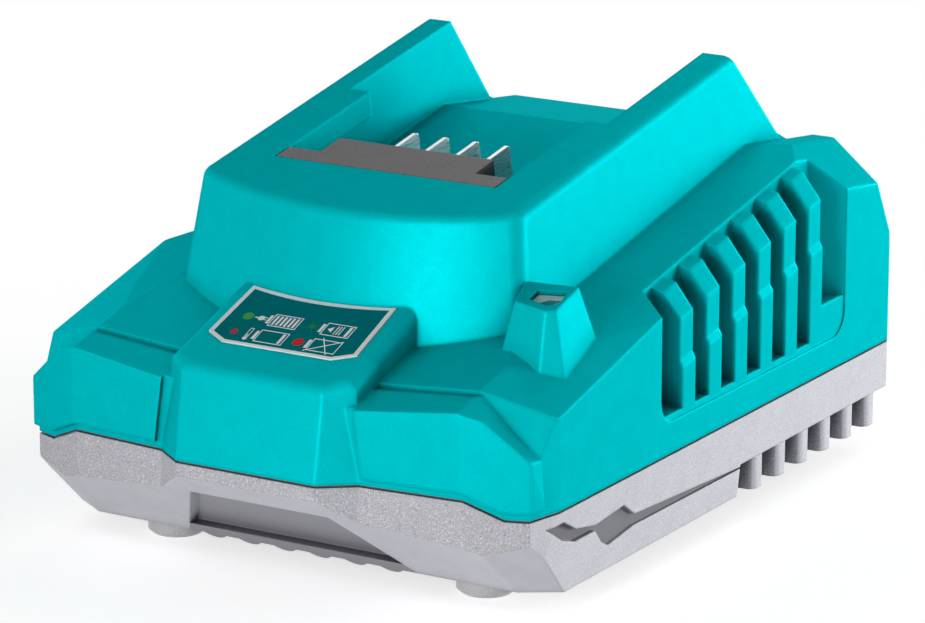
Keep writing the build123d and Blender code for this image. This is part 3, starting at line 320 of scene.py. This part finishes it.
footRubber = {"colour": (0.50, 0.50, 0.52), "rough": 0.12, "gloss": 0.9, "grain": 0.6 * mm}
dress(["foot_front_left", "foot_front_right", "foot_rear_left", "foot_rear_right"],
      plainPlastic("footRubber", footRubber))

glandRubber = {"colour": (0.02, 0.02, 0.022), "rough": 0.6, "gloss": 0.3, "grain": 0.6 * mm}
dress(["cord_gland"], plainPlastic("glandRubber", glandRubber))

chipPlastic = {"colour": (0.025, 0.025, 0.027), "rough": 0.4, "gloss": 0.5, "grain": 0.3 * mm}
dress(["bridge_rectifier", "switching_transistor", "output_rectifier", "controller_chip"],
      plainPlastic("chipPlastic", chipPlastic))

whitePlastic = {"colour": (0.72, 0.70, 0.64), "rough": 0.4, "gloss": 0.5, "grain": 0.6 * mm}
dress(["cord_terminal", "optocoupler", "output_socket", "output_plug"],
      plainPlastic("whitePlastic", whitePlastic))

wireSleeve = {"rough": 0.35, "gloss": 0.5, "grain": 0.6 * mm}
wireColours = {
    "output_wire_1": (0.5, 0.02, 0.015), "output_wire_2": (0.65, 0.42, 0.02),
    "output_wire_3": (0.7, 0.7, 0.68), "output_wire_4": (0.02, 0.02, 0.02),
}
for wireName, wireColour in wireColours.items():
    dress([wireName], plainPlastic(wireName + "_sleeve", {**wireSleeve, "colour": wireColour}))
print("small plastics dressed")

# Metals: streaks along one axis, with duller patches
brushed = {
    "patch": 3 * mm, "patches": (0.35, 0.65), "streaks": (0.3, 0.7), "smoother": 0.06, "rougher": 0.1,
}


def metalLook(name, look):
    mat, tree, bsdf = newMaterial(name)
    streaks = grainNoise(tree, look["streak"], stretch=look["along"])
    patches = grainNoise(tree, brushed["patch"])
    colour = blend(tree, remap(tree, patches, *brushed["patches"], 0, 1), look["colour"], look["dull"])
    tree.links.new(colour, bsdf.inputs["Base Color"])
    bsdf.inputs["Metallic"].default_value = 1.0
    low, high = look["rough"] - brushed["smoother"], look["rough"] + brushed["rougher"]
    tree.links.new(remap(tree, streaks, *brushed["streaks"], low, high), bsdf.inputs["Roughness"])
    bumpFrom(tree, streaks, look["bump"], bsdf, look["roundEdge"])
    return mat


bladeMetal = {
    "colour": (0.78, 0.77, 0.76), "dull": (0.66, 0.65, 0.65), "streak": 0.12 * mm, "along": (1, 30, 1),
    "rough": 0.28, "bump": 0.002 * mm, "roundEdge": 0.15 * mm,
}
dress([f"contact_blade_{number}" for number in range(1, 5)], metalLook("bladeMetal", bladeMetal))

screwMetal = {
    "colour": (0.55, 0.55, 0.56), "dull": (0.42, 0.42, 0.43), "streak": 0.3 * mm, "along": (1, 1, 0.3),
    "rough": 0.35, "bump": 0.01 * mm, "roundEdge": 0.1 * mm,
}
dress(["housing_screws", "board_screws"], metalLook("screwMetal", screwMetal))

sinkMetal = {
    "colour": (0.68, 0.68, 0.69), "dull": (0.58, 0.58, 0.59), "streak": 0.4 * mm, "along": (1, 1, 14),
    "rough": 0.45, "bump": 0.01 * mm, "roundEdge": 0.15 * mm,
}
dress(["heatsink_primary", "heatsink_output"], metalLook("sinkMetal", sinkMetal))

clipMetal = {
    "colour": (0.70, 0.63, 0.42), "dull": (0.55, 0.50, 0.36), "streak": 0.3 * mm, "along": (8, 1, 1),
    "rough": 0.35, "bump": 0.008 * mm, "roundEdge": 0.1 * mm,
}
dress(["fuse_clips"], metalLook("clipMetal", clipMetal))
print("metals dressed")

# Board, windings, cans and core inside the shells
boardMask = {
    "dark": (0.012, 0.10, 0.03), "light": (0.02, 0.13, 0.04), "weave": 0.5 * mm, "weaveRange": (0.3, 0.7),
    "track": (0.05, 0.22, 0.07), "tracksPerMetre": 260.0, "trackEdge": (0.42, 0.48),
    "rough": 0.35, "bump": 0.02 * mm,
}


def boardLook():
    mat, tree, bsdf = newMaterial("boardMask")
    weave = grainNoise(tree, boardMask["weave"])
    tracks = tree.nodes.new("ShaderNodeTexVoronoi")
    tracks.distance = "CHEBYCHEV"
    tracks.feature = "F1"
    tracks.inputs["Scale"].default_value = boardMask["tracksPerMetre"]
    tree.links.new(objectPlace(tree), tracks.inputs["Vector"])
    woven = remap(tree, weave, *boardMask["weaveRange"], 0, 1)
    base = blend(tree, woven, boardMask["dark"], boardMask["light"])
    copper = remap(tree, tracks.outputs["Distance"], *boardMask["trackEdge"], 0, 1)
    tree.links.new(blend(tree, copper, base, boardMask["track"]), bsdf.inputs["Base Color"])
    bsdf.inputs["Roughness"].default_value = boardMask["rough"]
    bumpFrom(tree, tracks.outputs["Distance"], boardMask["bump"], bsdf)
    return mat


dress(["main_board"], boardLook())

# Tape or wire laid in bands across an axis; a wave texture of scale 1 repeats every 0.314
banded = {"repeat": 0.314, "unevenness": 0.6, "range": (0.2, 0.8), "bump": 0.05 * mm}


def bandedLook(name, look):
    mat, tree, bsdf = newMaterial(name)
    bands = tree.nodes.new("ShaderNodeTexWave")
    bands.bands_direction = look["axis"]
    bands.inputs["Scale"].default_value = banded["repeat"] / look["pitch"]
    bands.inputs["Distortion"].default_value = banded["unevenness"]
    tree.links.new(objectPlace(tree), bands.inputs["Vector"])
    lit = remap(tree, bands.outputs["Fac"], *banded["range"], 0, 1)
    tree.links.new(blend(tree, lit, look["dark"], look["light"]), bsdf.inputs["Base Color"])
    bsdf.inputs["Roughness"].default_value = look["rough"]
    bumpFrom(tree, bands.outputs["Fac"], banded["bump"], bsdf)
    return mat


tapeFilm = {
    "light": (0.72, 0.46, 0.05), "dark": (0.58, 0.34, 0.03), "pitch": 6 * mm, "axis": "Z", "rough": 0.3,
}
dress(["transformer_winding", "filter_capacitor"], bandedLook("tapeFilm", tapeFilm))

copperTurns = {
    "light": (0.62, 0.27, 0.09), "dark": (0.36, 0.13, 0.04), "pitch": 0.9 * mm, "axis": "X", "rough": 0.3,
}
dress(["line_choke"], bandedLook("copperTurns", copperTurns))

canSleeve = {
    "light": (0.02, 0.03, 0.07), "dark": (0.013, 0.02, 0.05), "pitch": 12 * mm, "axis": "Z", "rough": 0.25,
}
dress(["primary_capacitor", "output_capacitor_1", "output_capacitor_2"], bandedLook("canSleeve", canSleeve))

ferrite = {"colour": (0.03, 0.03, 0.032), "rough": 0.7, "gloss": 0.2, "grain": 0.35 * mm}
dress(["transformer_core"], plainPlastic("ferrite", ferrite))
print("inner parts dressed")

# Clear parts: the lens, its lamp and the fuse
clearBody = {"bend": 1.49, "hazeRange": (0.3, 0.7), "roughSpread": 0.08, "bump": 0.01 * mm}


def clearLook(name, look):
    mat, tree, bsdf = newMaterial(name)
    haze = grainNoise(tree, look["haze"])
    bsdf.inputs["Base Color"].default_value = (*look["tint"], 1)
    bsdf.inputs["Transmission Weight"].default_value = look["clear"]
    bsdf.inputs["IOR"].default_value = clearBody["bend"]
    low, high = look["rough"], look["rough"] + clearBody["roughSpread"]
    tree.links.new(remap(tree, haze, *clearBody["hazeRange"], low, high), bsdf.inputs["Roughness"])
    bumpFrom(tree, haze, clearBody["bump"], bsdf, look["roundEdge"])
    return mat, tree, bsdf


# the well is measured from the middle of the lens; stretch squeezes or spreads it across and along
clearLens = {
    "tint": (0.9, 0.92, 0.92), "clear": 0.05, "rough": 0.08, "haze": 1.2 * mm, "roundEdge": 0.3 * mm,
    "well": (0.05, 0.035, 0.04), "wellPlace": (0.4 * mm, -0.8 * mm), "wellRadius": 1.3 * mm,
    "rimRadius": 1.9 * mm, "stretch": (0.75, 1.3, 0), "silver": (0.85, 0.82, 0.81),
    "smear": 1.6 * mm, "smearRange": (0.3, 0.7), "wobble": 0.9 * mm, "coat": 1.0, "coatRough": 0.05,
}


def lensLook():
    # hazy lens, silver from the reflector under it, with a painted dark well near its middle standing in
    # for the shaded inside seen through the lens
    mat, tree, bsdf = clearLook("clearLens", clearLens)
    low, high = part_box("light_guide")
    across, along = clearLens["wellPlace"]
    middle = ((low[0] + high[0]) / 2 + across, (low[1] + high[1]) / 2 + along, high[2])
    offset = vectorNode(tree, "SUBTRACT", objectPlace(tree), middle)
    distance = vectorNode(tree, "LENGTH", vectorNode(tree, "MULTIPLY", offset, clearLens["stretch"]))
    smear = grainNoise(tree, clearLens["smear"], detail=1.5)
    wobble = clearLens["wobble"]
    uneven = mathNode(tree, "ADD", distance, remap(tree, smear, *clearLens["smearRange"], -wobble, wobble))
    rim = remap(tree, uneven, clearLens["wellRadius"], clearLens["rimRadius"], 0, 1)
    # the well's dark colour is painted shade
    tree.links.new(blend(tree, rim, clearLens["well"], clearLens["silver"]), bsdf.inputs["Base Color"])
    bsdf.inputs["Coat Weight"].default_value = clearLens["coat"]
    bsdf.inputs["Coat Roughness"].default_value = clearLens["coatRough"]
    return mat


dress(["light_guide"], lensLook())

lampResin = {"tint": (0.1, 0.6, 0.2), "clear": 0.6, "rough": 0.15, "haze": 0.8 * mm, "roundEdge": 0.1 * mm}
dress(["status_lamp"], clearLook("lampResin", lampResin)[0])

fuseGlass = {"tint": (0.88, 0.9, 0.88), "clear": 0.8, "rough": 0.05, "haze": 2 * mm, "roundEdge": 0.1 * mm}
dress(["mains_fuse"], clearLook("fuseGlass", fuseGlass)[0])
print("clear parts dressed")

# Status label: white film with a dark printed field, pictograms and four indicator dots.
# Places are across and up from the middle of the line between its top corners.
label = {
    "fieldTop": (15.25 * mm, -1.1 * mm, 1.6 * mm), "topSteps": 16,
    "fieldCorners": ((15.8 * mm, -15.6 * mm), (12.0 * mm, -17.6 * mm)),
    "white": (0.97, 0.99, 0.99), "field": (0.0, 0.20, 0.225), "fieldGloss": 0.0,
    "lift": 0.03 * mm, "evenness": 0.01 * mm,
    "rows": (-9.6 * mm, -14.9 * mm), "dots": (-11.5 * mm, 3.0 * mm), "cells": (-6.1 * mm, 5.8 * mm),
}


def labelAxes():
    # origin at the height of the top corners, then the directions across, up the slope and out
    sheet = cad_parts["indicator_label"]
    place = sheet.matrix_world
    top = max(sheet.data.polygons, key=lambda face: face.area if face.normal.z > 0.5 else 0)
    out = (place.to_3x3() @ top.normal).normalized()
    across = Vector((1, 0, 0))
    up = out.cross(across)
    corners = [place @ corner.co for corner in sheet.data.vertices]
    level = max(corner.dot(out) for corner in corners)
    high = max(corner.dot(up) for corner in corners if corner.dot(out) > level - label["evenness"])
    return out * level + up * high, across, up, out


labelOrigin, labelAcross, labelUp, labelOut = labelAxes()


def printedPiece(name, shapes, layer, mat):
    # flat shapes, each a closed ring of (across, up) points; layer 1 lies on the film, layer 2 on layer 1
    mesh = bpy.data.meshes.new(name)
    form = bmesh.new()
    lift = labelOut * label["lift"]
    for shape in shapes:
        low = [labelOrigin + labelAcross * x + labelUp * y + lift * (layer - 1) for x, y in shape]
        bottom = [form.verts.new(point) for point in low]
        top = [form.verts.new(point + lift) for point in low]
        form.faces.new(top)
        form.faces.new(bottom[::-1])
        for index in range(len(shape)):
            after = (index + 1) % len(shape)
            form.faces.new((bottom[index], bottom[after], top[after], top[index]))
    form.to_mesh(mesh)
    form.free()
    mesh.materials.append(mat)
    piece = bpy.data.objects.new(name, mesh)
    bpy.context.scene.collection.objects.link(piece)
    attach(piece, "root")


ink = {"grain": 0.35 * mm, "fleck": 0.4, "rough": 0.38, "gloss": 0.1, "bump": 0.004 * mm, "roundEdge": 0.0}
inkTones = {"shade": 0.95, "light": 1.08, "dark": 0.9}


def inkLook(name, colour, gloss=ink["gloss"]):
    return plasticLook(name, {**ink, "colour": colour, "gloss": gloss, **tones(colour, **inkTones)})[0]


def fieldRing():
    # outline of the dark field, whose top edge sags in an arc
    half, topY, sag = label["fieldTop"]
    steps = label["topSteps"]
    arc = []
    for step in range(steps + 1):
        share = 2 * step / steps - 1
        arc.append((half * share, topY - sag * (1 - share ** 2)))
    (midHalf, midY), (lowHalf, lowY) = label["fieldCorners"]
    return arc + [(midHalf, midY), (lowHalf, lowY), (-lowHalf, lowY), (-midHalf, midY)]


def disc(x, y, radius, count=28):
    turns = [2 * math.pi * step / count for step in range(count)]
    return [(x + radius * math.cos(turn), y + radius * math.sin(turn)) for turn in turns]


def bar(start, end, width):
    start, end = Vector(start), Vector(end)
    along = (end - start).normalized() * (width / 2)
    side = Vector((-along.y, along.x))
    return [tuple(start - along - side), tuple(end + along - side), tuple(end + along + side),
            tuple(start - along + side)]


# Battery cell: an outline with its nub to the left, and bars that show its charge
cell = {
    "size": (6.1 * mm, 3.7 * mm), "line": 0.2 * mm, "nubSize": (0.8 * mm, 2.0 * mm), "nubBar": 0.8,
    "barTall": 2.4 * mm, "fullBars": [(0.75 + 0.92 * step) * mm for step in range(6)], "fullWide": 0.5 * mm,
    "thinBars": [(2.6 + 0.6 * step) * mm for step in range(3)], "thinWide": 0.22 * mm,
    "lastBar": [5.3 * mm], "lastWide": 0.6 * mm,
}


def cellIcon(x, y):
    wide, tall = cell["size"]
    nubWide, nubTall = cell["nubSize"]
    line = cell["line"]
    low, high = y - tall / 2, y + tall / 2
    outline = [
        bar((x, low), (x + wide, low), line), bar((x + wide, low + line), (x + wide, high - line), line),
        bar((x + wide, high), (x, high), line), bar((x, high - line), (x, low + line), line),
    ]
    nubX = x - nubWide / 2 - line
    nub = bar((nubX, y - nubTall / 2), (nubX, y + nubTall / 2), nubWide * cell["nubBar"])
    return outline + [nub]


def cellBars(x, y, places, width):
    half = cell["barTall"] / 2
    return [bar((x + place, y - half), (x + place, y + half), width) for place in places]


# Arrow head inside the second cell: its tip, its foot and half its height
arrow = {"tip": 0.7 * mm, "foot": 1.8 * mm, "half": 0.9 * mm}


def arrowHead(x, y):
    foot = x + arrow["foot"]
    return [(x + arrow["tip"], y), (foot, y - arrow["half"]), (foot, y + arrow["half"])]


# Cross over the last cell: where its two strokes start and end, and how far they pass the outline
cross = {
    "rising": (-0.4 * mm, cell["size"][0]), "risingPast": (0.3 * mm, 0.3 * mm),
    "falling": (1.6 * mm, 4.6 * mm), "fallingPast": (0.5 * mm, 0.4 * mm),
}


def crossMark(x, y):
    half = cell["size"][1] / 2
    strokes = []
    for name, up in (("rising", -1), ("falling", 1)):
        start, end = cross[name]
        startPast, endPast = cross[name + "Past"]
        strokes.append(bar((x + start, y + up * (half + startPast)), (x + end, y - up * (half + endPast)),
                           cell["line"]))
    return strokes


# Plug in front of the first cell
plug = {
    "before": 3.0 * mm, "cord": (-0.7 * mm, -0.2 * mm), "cordWide": 0.3 * mm, "bodyPlace": 0.55 * mm,
    "bodyRadius": 0.72 * mm, "pins": (1.2 * mm, 1.75 * mm), "pinSide": 0.36 * mm, "pinWide": 0.2 * mm,
}


def plugIcon(cellX, y):
    x = cellX - plug["before"]
    cordStart, cordEnd = plug["cord"]
    pinStart, pinEnd = plug["pins"]
    shapes = [
        bar((x + cordStart, y), (x + cordEnd, y), plug["cordWide"]),
        disc(x + plug["bodyPlace"], y, plug["bodyRadius"], 18),
    ]
    for side in (-plug["pinSide"], plug["pinSide"]):
        shapes.append(bar((x + pinStart, y + side), (x + pinEnd, y + side), plug["pinWide"]))
    return shapes


# Thermometer in front of the third cell
thermometer = {
    "before": 2.2 * mm, "bulbPlace": -1.45 * mm, "bulbRadius": 0.5 * mm, "column": (-1.2 * mm, -0.2 * mm),
    "columnWide": 0.24 * mm, "glass": (-0.9 * mm, 1.6 * mm), "glassSide": 0.36 * mm, "glassWide": 0.14 * mm,
    "capPlace": 1.8 * mm, "capHalf": 0.3 * mm, "capWide": 0.16 * mm,
}


def thermometerIcon(cellX, y):
    x = cellX - thermometer["before"]
    columnLow, columnHigh = thermometer["column"]
    glassLow, glassHigh = thermometer["glass"]
    shapes = [
        disc(x, y + thermometer["bulbPlace"], thermometer["bulbRadius"], 18),
        bar((x, y + columnLow), (x, y + columnHigh), thermometer["columnWide"]),
    ]
    for side in (-thermometer["glassSide"], thermometer["glassSide"]):
        shapes.append(bar((x + side, y + glassLow), (x + side, y + glassHigh), thermometer["glassWide"]))
    capY, capHalf = y + thermometer["capPlace"], thermometer["capHalf"]
    shapes.append(bar((x - capHalf, capY), (x + capHalf, capY), thermometer["capWide"]))
    return shapes


def whiteMarks():
    upper, lower = label["rows"]
    left, right = label["cells"]
    shapes = []
    for x in (left, right):
        for y in (upper, lower):
            shapes += cellIcon(x, y)
    shapes += cellBars(left, upper, cell["fullBars"], cell["fullWide"])
    shapes += cellBars(right, upper, cell["thinBars"], cell["thinWide"])
    shapes += cellBars(right, upper, cell["lastBar"], cell["lastWide"])
    shapes += cellBars(left, lower, cell["lastBar"], cell["lastWide"])
    shapes.append(arrowHead(right, upper))
    shapes += crossMark(right, lower)
    shapes += plugIcon(left, upper)
    shapes += thermometerIcon(left, lower)
    return shapes


# Indicator dots: column and row on the label, radius, and the inner and outer end of any rays
dots = {
    "full": {"at": (0, 0), "radius": 1.15 * mm, "ink": "inkGreen", "colour": (0.05, 0.36, 0.05)},
    "charging": {"at": (1, 0), "radius": 0.75 * mm, "ink": "inkBlinkGreen", "colour": (0.0, 0.24, 0.06),
                 "rays": (1.15 * mm, 1.6 * mm)},
    "heat": {"at": (0, 1), "radius": 0.85 * mm, "ink": "inkDullRed", "colour": (0.42, 0.03, 0.06)},
    "fault": {"at": (1, 1), "radius": 1.2 * mm, "ink": "inkRed", "colour": (0.60, 0.015, 0.02)},
}
sunRay = {"count": 8, "wide": 0.22 * mm}


def sunRays(x, y, inner, outer):
    rays = []
    for step in range(sunRay["count"]):
        turn = 2 * math.pi * (step + 0.5) / sunRay["count"]
        way = Vector((math.cos(turn), math.sin(turn)))
        rays.append(bar(Vector((x, y)) + way * inner, Vector((x, y)) + way * outer, sunRay["wide"]))
    return rays


dress(["indicator_label"], inkLook("labelFilm", label["white"]))
printedPiece("label_field", [fieldRing()], 1, inkLook("labelField", label["field"], label["fieldGloss"]))
printedPiece("label_marks", whiteMarks(), 2, inkLook("labelInk", label["white"]))
for dotName, dot in dots.items():
    dotColumn, dotRow = dot["at"]
    dotX, dotY = label["dots"][dotColumn], label["rows"][dotRow]
    dotShapes = [disc(dotX, dotY, dot["radius"])]
    if "rays" in dot:
        dotShapes += sunRays(dotX, dotY, *dot["rays"])
    printedPiece("label_dot_" + dotName, dotShapes, 2, inkLook(dot["ink"], dot["colour"]))
print("label printed")


# Camera and lamps look along directions given by azimuth from the front and elevation, in degrees
def wayTo(azimuth, elevation):
    around, above = math.radians(azimuth), math.radians(elevation)
    level = math.cos(above)
    return Vector((math.sin(around) * level, -math.cos(around) * level, math.sin(above)))


view = {
    "azimuth": 31.139, "elevation": 15.443, "lens": 181.77, "sensor": 36.0, "nearest": 10 * mm,
    "place": (0.468845, -0.776583, 0.288618),
}


def addCamera():
    data = bpy.data.cameras.new("viewCamera")
    data.lens = view["lens"]
    data.sensor_width = view["sensor"]
    data.clip_start = view["nearest"]
    camera = bpy.data.objects.new("viewCamera", data)
    bpy.context.scene.collection.objects.link(camera)
    camera.location = view["place"]
    camera.rotation_euler = (-wayTo(view["azimuth"], view["elevation"])).to_track_quat("-Z", "Y").to_euler()
    bpy.context.scene.camera = camera


addCamera()

# Square lamps, all aimed at the middle of the object
lampAim = Vector((0, 0, 45 * mm))
lamps = {
    "front": {"azimuth": 0, "elevation": 6, "distance": 0.9, "size": 0.3, "power": 2.35},
    "frontNear": {"azimuth": 10, "elevation": 8, "distance": 0.32, "size": 0.12, "power": 0.23},
    "right": {"azimuth": 120, "elevation": 6, "distance": 0.9, "size": 0.3, "power": 4.3},
    "rearRight": {"azimuth": 160, "elevation": 6, "distance": 0.9, "size": 0.3, "power": 3.6},
    "rearHigh": {"azimuth": 200, "elevation": 30, "distance": 0.9, "size": 0.3, "power": 0.7},
    "rearLeft": {"azimuth": 240, "elevation": 6, "distance": 0.9, "size": 0.3, "power": 0.9},
    "left": {"azimuth": 280, "elevation": 6, "distance": 0.9, "size": 0.3, "power": 0.35},
}


def addLamp(name, lamp):
    data = bpy.data.lights.new(name, "AREA")
    data.shape = "SQUARE"
    data.size = lamp["size"]
    data.energy = lamp["power"]
    obj = bpy.data.objects.new(name, data)
    bpy.context.scene.collection.objects.link(obj)
    obj.visible_camera = False
    way = wayTo(lamp["azimuth"], lamp["elevation"])
    obj.location = lampAim + way * lamp["distance"]
    obj.rotation_euler = (-way).to_track_quat("-Z", "Y").to_euler()


for lampName, lampSettings in lamps.items():
    addLamp(lampName, lampSettings)

# Floor and surroundings: white wherever they are seen, with the shadow kept near the object.
# fade is how far out the floor starts to turn plain white, and where it has done so.
surround = {
    "floorSize": 6.0, "paper": 0.82, "clouding": 0.98, "grain": 2 * mm, "rough": 0.9, "gloss": 0.1,
    "glow": 0.62, "fade": (0.10, 0.2), "ambient": 0.15,
}


def backgroundRays(tree):
    # 1 for rays that see the surroundings directly, in gloss or through glass
    path = tree.nodes.new("ShaderNodeLightPath")
    total = path.outputs["Is Camera Ray"]
    for ray in ("Is Glossy Ray", "Is Transmission Ray"):
        total = mathNode(tree, "MAXIMUM", total, path.outputs[ray])
    return total


def floorLook():
    mat, tree, bsdf = newMaterial("floorPaper")
    pale = (surround["paper"],) * 3
    cloudy = (surround["paper"] * surround["clouding"],) * 3
    grain = grainNoise(tree, surround["grain"])
    tree.links.new(blend(tree, grain, pale, cloudy), bsdf.inputs["Base Color"])
    bsdf.inputs["Roughness"].default_value = surround["rough"]
    bsdf.inputs["Specular IOR Level"].default_value = surround["gloss"]
    # where it is seen the paper glows a little, and turns plain white further out
    rays = backgroundRays(tree)
    fade = remap(tree, vectorNode(tree, "LENGTH", objectPlace(tree)), *surround["fade"], 0, 1)
    bsdf.inputs["Emission Color"].default_value = (1, 1, 1, 1)
    tree.links.new(mathNode(tree, "MULTIPLY", rays, surround["glow"]), bsdf.inputs["Emission Strength"])
    white = tree.nodes.new("ShaderNodeEmission")
    mixer = tree.nodes.new("ShaderNodeMixShader")
    tree.links.new(mathNode(tree, "MULTIPLY", fade, rays), mixer.inputs["Fac"])
    tree.links.new(bsdf.outputs["BSDF"], mixer.inputs[1])
    tree.links.new(white.outputs["Emission"], mixer.inputs[2])
    out = next(node for node in tree.nodes if node.type == "OUTPUT_MATERIAL")
    tree.links.new(mixer.outputs["Shader"], out.inputs["Surface"])
    return mat


def addFloor():
    mesh = bpy.data.meshes.new("floor")
    half = surround["floorSize"] / 2
    corners = [(-half, -half, 0), (half, -half, 0), (half, half, 0), (-half, half, 0)]
    mesh.from_pydata(corners, [], [(0, 1, 2, 3)])
    floor = bpy.data.objects.new("floor", mesh)
    bpy.context.scene.collection.objects.link(floor)
    mesh.materials.append(floorLook())


def setWorld():
    world = bpy.data.worlds.new("surroundings")
    bpy.context.scene.world = world
    world.use_nodes = True
    tree = world.node_tree
    tree.nodes.clear()
    out = tree.nodes.new("ShaderNodeOutputWorld")
    room = tree.nodes.new("ShaderNodeBackground")
    room.inputs["Color"].default_value = (1, 1, 1, 1)
    room.inputs["Strength"].default_value = surround["ambient"]
    white = tree.nodes.new("ShaderNodeBackground")
    white.inputs["Color"].default_value = (1, 1, 1, 1)
    mixer = tree.nodes.new("ShaderNodeMixShader")
    tree.links.new(backgroundRays(tree), mixer.inputs["Fac"])
    tree.links.new(room.outputs["Background"], mixer.inputs[1])
    tree.links.new(white.outputs["Background"], mixer.inputs[2])
    tree.links.new(mixer.outputs["Shader"], out.inputs["Surface"])


addFloor()
setWorld()
bpy.context.scene.view_settings.view_transform = "Standard"
print("stage set")
